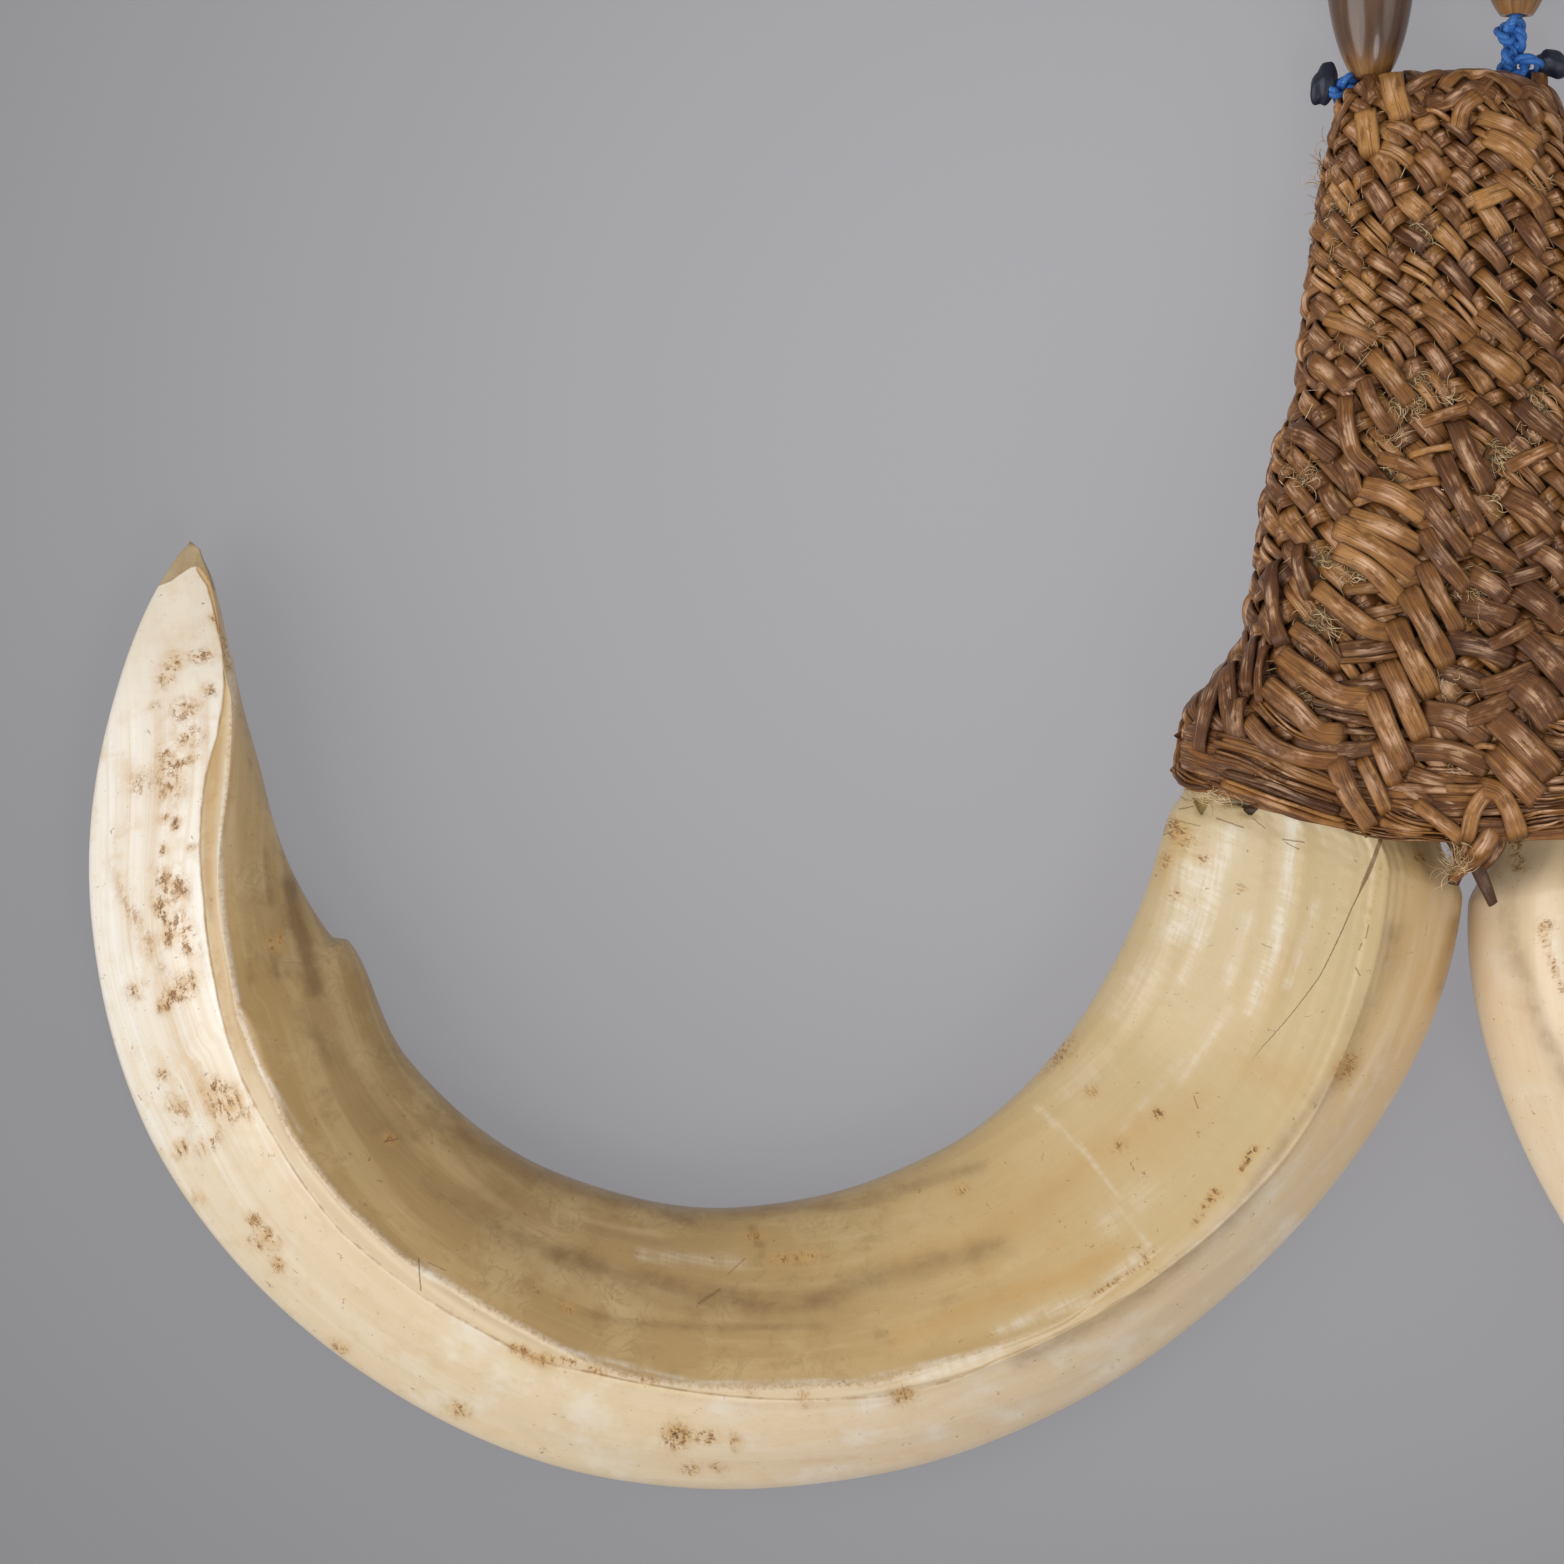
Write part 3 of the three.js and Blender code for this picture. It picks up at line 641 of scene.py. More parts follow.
def awayFrom(x, y, line):  # distance in millimetres from places to a line through pixels
    corners = np.array([photoPoint(*p) for p in line])
    nearest = np.full(x.shape, 1e9)
    for a, b in zip(corners[:-1], corners[1:]):
        run = b - a
        t = np.clip(((x - a[0]) * run[0] + (y - a[1]) * run[1]) / (run @ run), 0, 1)
        nearest = np.minimum(nearest, np.hypot(x - a[0] - t * run[0], y - a[1] - t * run[1]))
    return nearest


def outsideOf(line, seenAngle, seenRadius, values):  # millimetres outwards of a line round the curl
    lineAngle, lineRadius = curlPlace(np.array([photoPoint(*p) for p in line]), values)
    order = np.argsort(lineAngle)
    return seenRadius - np.interp(seenAngle, lineAngle[order], lineRadius[order])


def markSum(kind, x, y, angle, radius, values):
    # a spot is a soft ellipse that follows the curl, a line is a soft band round its points
    total = np.zeros_like(x)
    for across, down, halfAlong, halfAcross, strength in tuskSpots[kind]:
        markAngle, markRadius = curlPlace(np.array(photoPoint(across, down)), values)
        along = np.radians(angle - markAngle) * markRadius / (halfAlong * pixel)
        total += strength * np.exp(-(along**2 + ((radius - markRadius) / (halfAcross * pixel)) ** 2))
    for halfWidth, strength, *line in tuskLines[kind]:
        total += strength * np.exp(-((awayFrom(x, y, line) / (halfWidth * pixel)) ** 2))
    return total


def makeTusk(name, values, flipped, seed, detail):
    angle = tuskAngles(round(values["rows"] * detail))
    columnCounts = [round(count * detail) for count in values["columns"]]
    inner, outer, lift, thickness, ridge = (
        smoothThrough(values[k], angle)[:, None] for k in ("inner", "outer", "lift", "thickness", "ridge"))
    degrees = angle[:, None]
    section = tuskSection(ridge[:, 0], 1 - easeStep(28, 45, angle), columnCounts)
    across, height = section[..., 0], np.maximum(section[..., 1], 0)
    radius, z = inner + (outer - inner) * across, lift + thickness * height
    girthStep = np.hypot(np.diff(radius, axis=1), np.diff(z, axis=1))
    girth = np.concatenate((np.zeros((len(angle), 1)), np.cumsum(girthStep, 1)), 1)
    ridgeColumn = sum(columnCounts[:4])
    girth = girth - girth[:, ridgeColumn : ridgeColumn + 1]
    total = girth[:, -1:] - girth[:, :1]
    girth = np.where(girth > total / 2, girth - total, girth)
    front = easeStep(0.2, 0.45, height)
    turn = np.radians(degrees)
    along = turn * (inner + outer) / 2
    cx, cy = values["centre"]
    seenX, seenY = seenFrom(cx + radius * np.cos(turn), cy - radius * np.sin(turn), z)
    seenAngle, seenRadius = curlPlace(np.stack((seenX, seenY), -1), values)
    crest, beyondEdge = (outsideOf(line, seenAngle, seenRadius, values) for line in (crestLine, enamelLine))
    # fine relief, outwards: the crest, the furrow beside it, the root's valley and ribs, slow swells
    size = values["relief"]
    leftward = easeStep(44, 60, degrees) * front
    relief = size["crest"] * np.exp(-((crest / 0.42) ** 2)) * leftward
    furrow = easeStep(0.1, 0.5, crest) * (1 - easeStep(-0.12, 0.12, beyondEdge))
    relief = relief - size["furrow"] * furrow * leftward
    rootward = easeStep(24, 34, degrees) * (1 - easeStep(66, 88, degrees))
    relief = relief - size["valley"] * np.exp(-(((across - ridge - 0.12) / 0.09) ** 2)) * rootward
    ribs = wander(girth + 0.02 * along, seed + 1, 1.7, 6) + 0.6 * wander(girth, seed + 2, 4.0, 6)
    ribs = size["ribs"] * ribs * (1 - easeStep(50, 90, degrees))
    ribs = ribs * (1 + 0.35 * wander(along, seed + 3, 3.2, 6)) * (1 - 0.8 * easeStep(-0.5, 0.8, beyondEdge))
    swell = 0.07 * wander(along * 0.25 + girth * 0.2, seed + 4) + 0.03 * wander(girth - along * 0.05, seed + 6)
    relief = (relief + ribs + swell) * np.minimum(1, (outer - inner) / 10) * front
    out = unit(np.stack((np.roll(z, 1, 1) - np.roll(z, -1, 1), np.roll(radius, -1, 1) - np.roll(radius, 1, 1)), -1))
    radius, z = radius + relief * out[..., 0], np.maximum(z + relief * out[..., 1], lift)
    for a, b, wide, tall, _ in rootHoles:  # the chipped places are pressed in
        px, py = photoPoint(a, b)
        inside = np.exp(-(((seenX - px) / (wide * pixel)) ** 4) - ((seenY - py) / (tall * pixel)) ** 4)
        z = z - size["chips"] * inside * front
    points = together(cx + radius * np.cos(turn), cy - radius * np.sin(turn), z)
    tip = np.array(underPixel(190.5, 541.0, smoothThrough(values["lift"], values["tip"]) + 0.5))
    # the other tusk of the pair wears the same kinds of marks further round the curl
    markAngle = seenAngle + (rightTusk["marksFurther"] if flipped else 0.0)
    markTurn = np.radians(markAngle)
    markX, markY = cx + seenRadius * np.cos(markTurn), cy - seenRadius * np.sin(markTurn)
    # the pale marks are largely painted highlights, and two of the dark lines are painted shade
    brown, dark, tan, paleRibsAndHighlights = (markSum(kind, markX, markY, markAngle, seenRadius, values) * front
                               for kind in ("brown", "dark", "tan", "paleRibsAndHighlights"))
    crack = outsideOf(crackLine, seenAngle, seenRadius, values)
    seenAcross, seenDown = photoPixel(seenX, seenY)
    cap = np.interp(seenAcross, *np.array(tipCap, float).T) - seenDown
    cap = np.where(degrees > 170, cap, -50) * pixel
    layers = {"skin": together(along, girth, crest), "zone": together(seenAngle / 180, beyondEdge, front),
              "marks": together(brown, dark, tan), "lines": together(crack, cap, paleRibsAndHighlights),
              "seen": together(seenX, seenY, front)}
    rows, columns = radius.shape
    points = np.concatenate((points.reshape(-1, 3), points[0].mean(0)[None], tip[None]))
    layers = {k: np.concatenate((v.reshape(-1, 3), v[[0, -1]].mean(1))) for k, v in layers.items()}
    quads, start = gridFaces(rows, columns), rows * columns
    triangles = np.concatenate((fanFaces(np.arange(columns), start, True),
                                fanFaces(np.arange(columns) + start - columns, start + 1, False)))
    if flipped:
        points = (2 * rightTusk["mirrorX"], -rightTusk["drop"], 0.0) + points * (-1, 1, 1)
        pivot = np.array(rightTusk["pivot"])
        points = turned(points - pivot, -math.radians(rightTusk["clockwise"])) + pivot
    else:
        quads, triangles = quads[:, ::-1], triangles[:, ::-1]
    return makePiece(name, points, quads, triangles, layers)


def strokeNearness(x, y, stroke):  # 1 on a short stroke between two pixels, 0 beyond its half width
    (ax, ay), (bx, by) = (photoPoint(*p) for p in stroke[:2])
    runX, runY = bx - ax, by - ay
    t = (((x - ax) * runX + (y - ay) * runY) * (1 / (runX**2 + runY**2))).highest(0.0).lowest(1.0)
    gap = ((x - ax - t * runX) ** 2 + (y - ay - t * runY) ** 2) ** 0.5
    return gap.between(stroke[2] * 1.5, stroke[2] * 0.3) * stroke[3]


def tuskFinish(name, offset, own):
    finish = Finish(name, Roughness=0.32, Subsurface_Weight=0.10, Subsurface_Radius=(0.0025, 0.0016, 0.0009),
                    Subsurface_Scale=1.0, Coat_Weight=0.22, Coat_Roughness=0.2)
    along, girth, crest = finish.layer("skin")
    angle, beyondEdge, front = finish.layer("zone")
    brown, dark, tan = finish.layer("marks")
    crack, cap, paleRibsAndHighlights = finish.layer("lines")
    here = finish.place(offset=offset)
    flow = finish.noise((along * 0.07, girth * 0.35), 1.0, 4.0, 0.55, 0.4)
    threads = finish.noise((along * 0.16, girth * 2.0), 1.0, 4.0, 0.6)
    clouds = finish.noise(here, 0.12, 5.0, 0.62)
    mottle = finish.noise(here, 0.42, 5.0, 0.62)
    rootward = angle.between(0.46, 0.30)
    veins = abs(finish.noise(here, 0.26, 4.0, 0.55, 1.4) - 0.5).between(0.035, 0.0)
    specks = finish.noise(here, 2.1, 4.0, 0.65)
    dust = finish.noise(here, 4.6, 3.0, 0.6)
    flecks = finish.noise(here, 1.1, 3.0, 0.6, 0.8)
    rings = finish.noise((along * 1.3, girth * 0.12), 1.0, 4.0, 0.65)
    streaks = finish.noise((along * 0.035, girth * 0.75), 1.0, 4.0, 0.65)
    dashes = finish.noise((along * 2.3, girth * 0.85), 1.0, 4.0, 0.7)
    # smooth enamel outside the ridge, bare tan dentine inside it, both yellower and paler towards the root
    enamel = finish.ramp(
        angle, (0.08, (0.72, 0.50, 0.235)), (0.17, (0.72, 0.51, 0.265)), (0.27, (0.78, 0.60, 0.37)),
        (0.42, (0.80, 0.62, 0.40)), (0.55, (0.78, 0.625, 0.40)), (0.65, (0.77, 0.62, 0.41)),
        (0.74, (0.81, 0.685, 0.50)), (0.83, (0.92, 0.86, 0.75)), (0.95, (0.90, 0.84, 0.74)),
        (1.0, (0.80, 0.70, 0.56)))
    ochre = beyondEdge.between(2.6, 0.6) * angle.between(0.40, 0.28) * clouds.between(0.3, 0.6) * 0.5
    enamel = finish.mix(ochre, enamel, (0.66, 0.44, 0.17))
    if not own:
        enamel = finish.mix(0.55, enamel, (0.90, 0.76, 0.57))
    tipward = angle.between(0.66, 0.80) * angle.between(1.0, 0.93)
    enamel = finish.paint(
        enamel,
        (flow.between(0.45, 0.68) * 0.30, (0.90, 0.80, 0.62)),
        (threads.between(0.50, 0.75) * 0.18, (0.66, 0.48, 0.27)),
        (mottle.between(0.47, 0.68) * (0.34 - rootward * 0.2), (0.70, 0.50, 0.28)),
        (clouds.between(0.52, 0.68) * 0.4, (0.89, 0.85, 0.76)),
        (streaks.between(0.50, 0.62) * tipward * 0.42, (0.74, 0.57, 0.37)),
        (streaks.between(0.46, 0.36) * tipward * 0.6, (0.96, 0.93, 0.87)),
        (rings.between(0.55, 0.66) * mottle.between(0.42, 0.58) * tipward * 0.4, (0.72, 0.54, 0.33)))
    dentine = finish.ramp(
        angle, (0.08, (0.62, 0.485, 0.265)), (0.22, (0.63, 0.475, 0.245)), (0.34, (0.60, 0.42, 0.19)),
        (0.46, (0.47, 0.31, 0.125)), (0.60, (0.385, 0.245, 0.092)), (0.80, (0.39, 0.25, 0.092)),
        (0.93, (0.58, 0.41, 0.20)))
    dentine = finish.paint(
        dentine,
        (flow.between(0.46, 0.66) * 0.35, (0.66, 0.48, 0.24)),
        (clouds.between(0.46, 0.66) * 0.35, (0.66, 0.50, 0.26)),
        (mottle.between(0.52, 0.74) * (0.42 - rootward * 0.36), (0.27, 0.155, 0.05)),
        (veins * clouds.between(0.40, 0.6) * angle.between(0.34, 0.5) * 0.30, (0.25, 0.14, 0.05)),
        (threads.between(0.52, 0.75) * 0.12, (0.78, 0.62, 0.36)))
    # the band between the crest and the enamel's edge, paler towards the crest, and the crest's glint; the glint
    # and that paling are painted highlight
    softness = angle.between(0.40, 0.26) * 1.7 + 0.08
    outerSide = ((beyondEdge + (specks - 0.5) * 0.10) / softness).between(-1.0, 1.0)
    leftward = angle.between(0.30, 0.42) * front
    band = crest.between(0.0, 0.35) * beyondEdge.between(0.03, -0.05) * leftward
    # the band's tan; its paling towards the crest is painted highlight
    bandTan = finish.paint(
        finish.mix(mottle.between(0.4, 0.6), (0.54, 0.34, 0.135), (0.64, 0.46, 0.23)),
        (angle.between(0.79, 0.735), (0.77, 0.63, 0.42)), (crest.between(1.1, 0.1), (0.76, 0.61, 0.40)))
    besideCrest = crest.between(-2.2, -0.1) * crest.between(0.3, 0.0) * leftward * clouds.between(0.2, 0.55)
    # the crest's glint: a painted highlight
    crestHighlight = abs(crest).between(0.62, 0.05) * (0.35 + specks.between(0.42, 0.56)).lowest(1.0) * leftward
    # marks: tan bands, dark streaks and painted valley shade, pale ribs painted largely as highlights, brown
    # freckles in their halo, pits and flakes
    streaked = 0.35 + flow.between(0.3, 0.6) * 0.4 + mottle.between(0.4, 0.6) * 0.4
    ladder = 0.35 + mottle.between(0.35, 0.6) * 0.5 + rings.between(0.45, 0.6) * 0.55
    ladder = ladder * (0.5 + threads.between(0.35, 0.6) * 0.6)
    grains = (0.25 + specks.between(0.42, 0.52)) * (0.5 + dust.between(0.42, 0.55))
    freckles = (brown * dashes.between(0.47, 0.57) * grains).lowest(1.0)
    freckleBrown = finish.mix((brown - 1.0).between(0.0, 1.0), (0.27, 0.125, 0.028), (0.11, 0.045, 0.011))
    patchy = 0.3 + mottle.between(0.4, 0.6) * 0.6 + dashes.between(0.42, 0.55) * 0.5
    halo = (brown.highest(0.001) ** 0.6 * patchy).lowest(1.0)
    pits = (specks.between(0.68, 0.73) * mottle.between(0.48, 0.62)).lowest(1.0)
    flakes = (flecks.between(0.66, 0.70) * dust.between(0.46, 0.56)).lowest(1.0)
    dirt = abs(beyondEdge + 0.02).between(0.17, 0.02) * leftward * (0.25 + mottle.between(0.42, 0.58))
    chipEdge = cap + (mottle - 0.5) * 0.35
    chipBrown = finish.mix(clouds.between(0.35, 0.65), (0.35, 0.24, 0.115), (0.49, 0.375, 0.225))
    colour = finish.paint(
        finish.mix(outerSide, dentine, enamel),
        (band * 0.8, bandTan),
        (besideCrest * 0.5, (0.56, 0.36, 0.15)),
        # painted highlight along the crest
        (crestHighlight * 0.48, (0.88, 0.76, 0.60)),
        ((tan * clouds.between(0.15, 0.5)).lowest(1.0) * 0.6, (0.58, 0.345, 0.12)),
        # dark streaks, with painted shade along the outer face's valley
        ((dark * streaked).lowest(1.0) * 0.75, (0.20, 0.11, 0.037)),
        # pale ribs and streaks, largely painted highlights
        ((paleRibsAndHighlights * ladder).lowest(1.0) * 0.5, (0.91, 0.86, 0.75)),
        (halo * 0.66, (0.60, 0.35, 0.115)),
        (freckles * 0.9, freckleBrown),
        (pits.highest(flakes) * 0.62, (0.24, 0.125, 0.045)),
        (dirt * 0.5, (0.36, 0.205, 0.08)),
        (chipEdge.between(-0.05, 0.06), chipBrown),
        (abs(chipEdge).between(0.14, 0.0) * 0.55, (0.30, 0.18, 0.08)))
    # the crack that narrows away from the root, and on the seen tusk its scratches and chipped rim, whose holes are
    # painted dark as shade
    crackWidth = angle.between(0.120, 0.108) * 0.14 + angle.between(0.213, 0.12) * 0.028 + 0.004
    nearCrack = (abs(crack + (dust - 0.5) * 0.16) - crackWidth).between(0.06, -0.02)
    scratches = nearCrack * angle.between(0.213, 0.195) * front * 0.85
    if own:
        seenX, seenY, _ = finish.layer("seen")
        seenX, seenY = seenX + (dust - 0.5) * 0.12, seenY + (specks - 0.5) * 0.2
        for stroke in strokes:
            scratches = scratches.highest(strokeNearness(seenX, seenY, stroke))
        for a, b, wide, tall, depth in rootHoles:
            px, py = photoPoint(a, b)
            gapX, gapY = seenX - px + (clouds + mottle - 1.0) * 0.9, seenY - py + (mottle - 0.5) * 1.1
            slope = 1.0 + gapY * (0.8 / (tall * pixel))
            level, upright = abs(gapX / (slope.highest(0.12) * (wide * pixel))), abs(gapY) * (1 / (tall * pixel))
            # painted shade inside the chipped holes: near black, the shallower one mixed with olive brown
            hole = (0.05, 0.022, 0.008)
            if depth < 0.9:
                hole = finish.mix(mottle.between(0.4, 0.6), (0.055, 0.028, 0.008), (0.28, 0.185, 0.04))
            colour = finish.mix(level.highest(upright).between(1.08, 0.86) * depth * front, colour, hole)
    colour = finish.mix((scratches * front).lowest(1.0), colour, (0.20, 0.10, 0.03))
    height = flow * 0.25 + threads * 0.22 + rings * 0.25 + mottle * 0.2 + specks * 0.08 + dust * 0.05
    height = height - scratches * 1.2 - freckles * 0.12 - pits * 0.4
    rough = 0.24 + mottle * 0.16 + freckles * 0.3 + dust * 0.06 + scratches * 0.3
    return finish.out(Base_Color=colour, Roughness=rough, Normal=finish.bump(height, 0.45, 0.17))


for name, node, flipped, seed, detail, skin, offset in (
        ("carved_left_tusk", "tusk_left", False, 11, 1.0, "tuskLeftSkin", (0.0, 0.0, 0.0)),
        ("carved_right_tusk", "tusk_right", True, 23, 0.6, "tuskRightSkin", (37.0, 11.0, 5.0))):
    dress(makeTusk(name, tusk, flipped, seed, detail), tuskFinish(skin, offset, not flipped), node)
print("tusks made")


# plaited cover: its mean surface is a table of points over rows down the cover and equal steps round its girth
cover = {
    "topY": 56.2, "hemY": -12.4, "hemRise": 5.2, "topX": -2.5, "hemX": -0.3, "squareness": 0.72,
    "frontSink": 0.5, "backLift": 0.85,
    "halfWidth": [(0, 7.6), (0.02, 9.2), (0.058, 10), (0.163, 11.7), (0.3, 13.2), (0.43, 14.6), (0.51, 16.8),
                  (0.7, 19.2), (0.765, 20), (0.83, 22.8), (0.9, 25.8), (1, 26.9)],
    "halfDepth": [(0, 3.6), (0.02, 4.3), (0.058, 4.8), (0.3, 6.4), (0.5, 8.3), (0.7, 10), (0.85, 11.1), (1, 11.2)],
}


class CoverSurface:
    rows, steps = 500, 1200

    def __init__(self, values):
        down = np.linspace(0, 1, self.rows)[:, None]
        turn = np.linspace(0, 2 * np.pi, self.steps * 2 + 1)
        side = -np.sign(np.cos(turn)) * np.abs(np.cos(turn)) ** values["squareness"]
        front = np.sign(np.sin(turn)) * np.abs(np.sin(turn)) ** values["squareness"]
        halfWidth, depth = (smoothThrough(values[k], down) for k in ("halfWidth", "halfDepth"))
        top, bottom = 2 * depth - values["frontSink"], values["backLift"]
        x = values["topX"] + (values["hemX"] - values["topX"]) * down + halfWidth * side
        y = values["topY"] + (values["hemY"] - values["topY"]) * down + values["hemRise"] * down**3 * side**2
        z = (top + bottom) / 2 + (top - bottom) / 2 * front
        loop = together(x, y, z)
        steps = np.linalg.norm(np.diff(loop, axis=1), axis=2)
        run = np.concatenate((np.zeros((self.rows, 1)), np.cumsum(steps, 1)), 1)
        self.girth = run[:, -1]
        even = np.linspace(0, 1, self.steps + 1)
        self.table = np.stack([np.stack([np.interp(even * g, r, line[:, a]) for a in range(3)], -1)
                               for g, r, line in zip(self.girth, run, loop)])
        self.run = runAlong(self.table[:, self.steps // 4])
        downward, around = np.gradient(self.table, axis=0), np.gradient(self.table, axis=1)
        self.normals = unit(np.cross(downward, around))

    def sample(self, table, around, down):  # bilinear, round its girth without an end
        row = np.clip(down, 0, 1) * (self.rows - 1)
        column = (np.asarray(around) % 1.0) * self.steps
        r, c = np.minimum(row.astype(int), self.rows - 2), column.astype(int) % self.steps
        fr, fc = (row - r)[..., None], (column - np.floor(column))[..., None]
        top = table[r, c] * (1 - fc) + table[r, c + 1] * fc
        return top * (1 - fr) + (table[r + 1, c] * (1 - fc) + table[r + 1, c + 1] * fc) * fr

    def place(self, around, down, height):  # a point at a height over the surface
        point = self.sample(self.table, around, down)
        normal = unit(self.sample(self.normals, around, down))
        return point + normal * np.asarray(height)[..., None]


surface = CoverSurface(cover)
print("cover surface: girth", round(surface.girth[0], 1), "to", round(surface.girth[-1], 1), "mm")


def frontHeight(x, y, values):
    # height of the cover's front over a place, whose row down the cover is found by rounds of correction
    drop = values["topY"] - values["hemY"]
    down = (values["topY"] - y) / drop
    for _ in range(8):
        down = np.clip(down, 0, 1)
        middle = values["topX"] + (values["hemX"] - values["topX"]) * down
        side = np.clip((x - middle) / smoothThrough(values["halfWidth"], down), -0.9999, 0.9999)
        down = (values["topY"] - y + values["hemRise"] * down**3 * side**2) / drop
    depth = smoothThrough(values["halfDepth"], np.clip(down, 0, 1))
    top, bottom = 2 * depth - values["frontSink"], values["backLift"]
    front = (1 - np.abs(side) ** (2 / values["squareness"])) ** (values["squareness"] / 2)
    return (top + bottom) / 2 + (top - bottom) / 2 * front


def frontNormals(x, y):
    near = 0.2
    slopes = [(frontHeight(x + a, y + b, cover) - frontHeight(x - a, y - b, cover)) / (2 * near)
              for a, b in ((near, 0), (0, near))]
    return unit(together(-slopes[0], -slopes[1], 1.0))


def underPixels(across, down):  # points of the cover's front that the camera sees at pixels of the photograph
    z = 15.0
    for _ in range(6):
        x, y = underPixel(across, down, z)[:2]
        z = frontHeight(x, y, cover)
    return together(x, y, z)


# the plait's own plane: the cover unrolled as a cone, then eased so that its cells grow less than the cover does
plait = {
    "openAngle": 1.03, "coneStart": 50.0, "power": 0.64, "rowPitch": 2.6, "slopeA": 45.0, "slopeB": 27.0,
    "widthA": 1.78, "widthB": 1.42, "thickA": 0.38, "thickB": 0.34, "riseA": 0.40, "riseB": 0.32, "lastDown": 0.94,
    "warp": 0.75,
}


def field(p, q, seed, rate, terms=5):  # slow noise over a plane, about -1 to 1
    rng = np.random.default_rng(seed)
    ways, rates = rng.uniform(0, 2 * np.pi, terms), rate * rng.uniform(0.6, 1.5, terms)
    phases = rng.uniform(0, 2 * np.pi, terms)
    waves = sum(np.sin(r * (math.cos(w) * p + math.sin(w) * q) + f) for w, r, f in zip(ways, rates, phases))
    return waves / terms**0.5 / 1.2


def rollUp(p, q):  # back from the plait's plane to (around, down), with the hand's unevenness put in
    p, q = p + plait["warp"] * field(p, q, 91, 0.32), q + plait["warp"] * field(p, q, 92, 0.36)
    size, turn = np.hypot(p, q), np.arctan2(p, q) / plait["power"]
    reach = plait["coneStart"] * (size * plait["power"] / plait["coneStart"]) ** (1 / plait["power"])
    down = np.interp(reach - plait["coneStart"], surface.run, np.linspace(0, 1, surface.rows), left=-1, right=2)
    return turn / plait["openAngle"] + 0.25, down


def stripSection():  # across -1 to 1 and height -1 to 1 of a flat strip with slightly rounded corners
    return (np.array((1.0, 0.96, 0.84, 0.3, -0.3, -0.84, -0.96, -1.0, -0.9, 0.9)),
            np.array((0.05, 0.72, 1.0, 1.0, 1.0, 1.0, 0.72, 0.05, -1.0, -1.0)))


def stripRings(p, q, height, halfWidth, thick, roll):
    # a flat strip carried along a line of the plait's plane, kept on the cover's surface
    direction = unit(np.stack((np.gradient(p), np.gradient(q)), -1))
    wide, deep = stripSection()
    offset = halfWidth[:, None] * wide
    lift = height[:, None] + thick / 2 * deep + 0.12 * thick * (1 - wide**2) + np.reshape(roll, (-1, 1)) * offset
    around, down = rollUp(p[:, None] - direction[:, 1:] * offset, q[:, None] + direction[:, :1] * offset)
    rings = surface.place(around, down, lift)
    rings[..., 2] = np.maximum(rings[..., 2], 0.04 + 0.02 * deep)
    return rings, np.broadcast_to(wide, offset.shape)


def sunkenForHand(around, down):  # how far the plait sinks under the strips given one by one low on the front
    front = easeStep(0.0, 0.05, around) * (1 - easeStep(0.36, 0.42, around))
    low, middle = easeStep(0.56, 0.66, down), easeStep(0.30, 0.38, down)
    return front * (0.42 * low + 0.26 * middle * (1 - low))


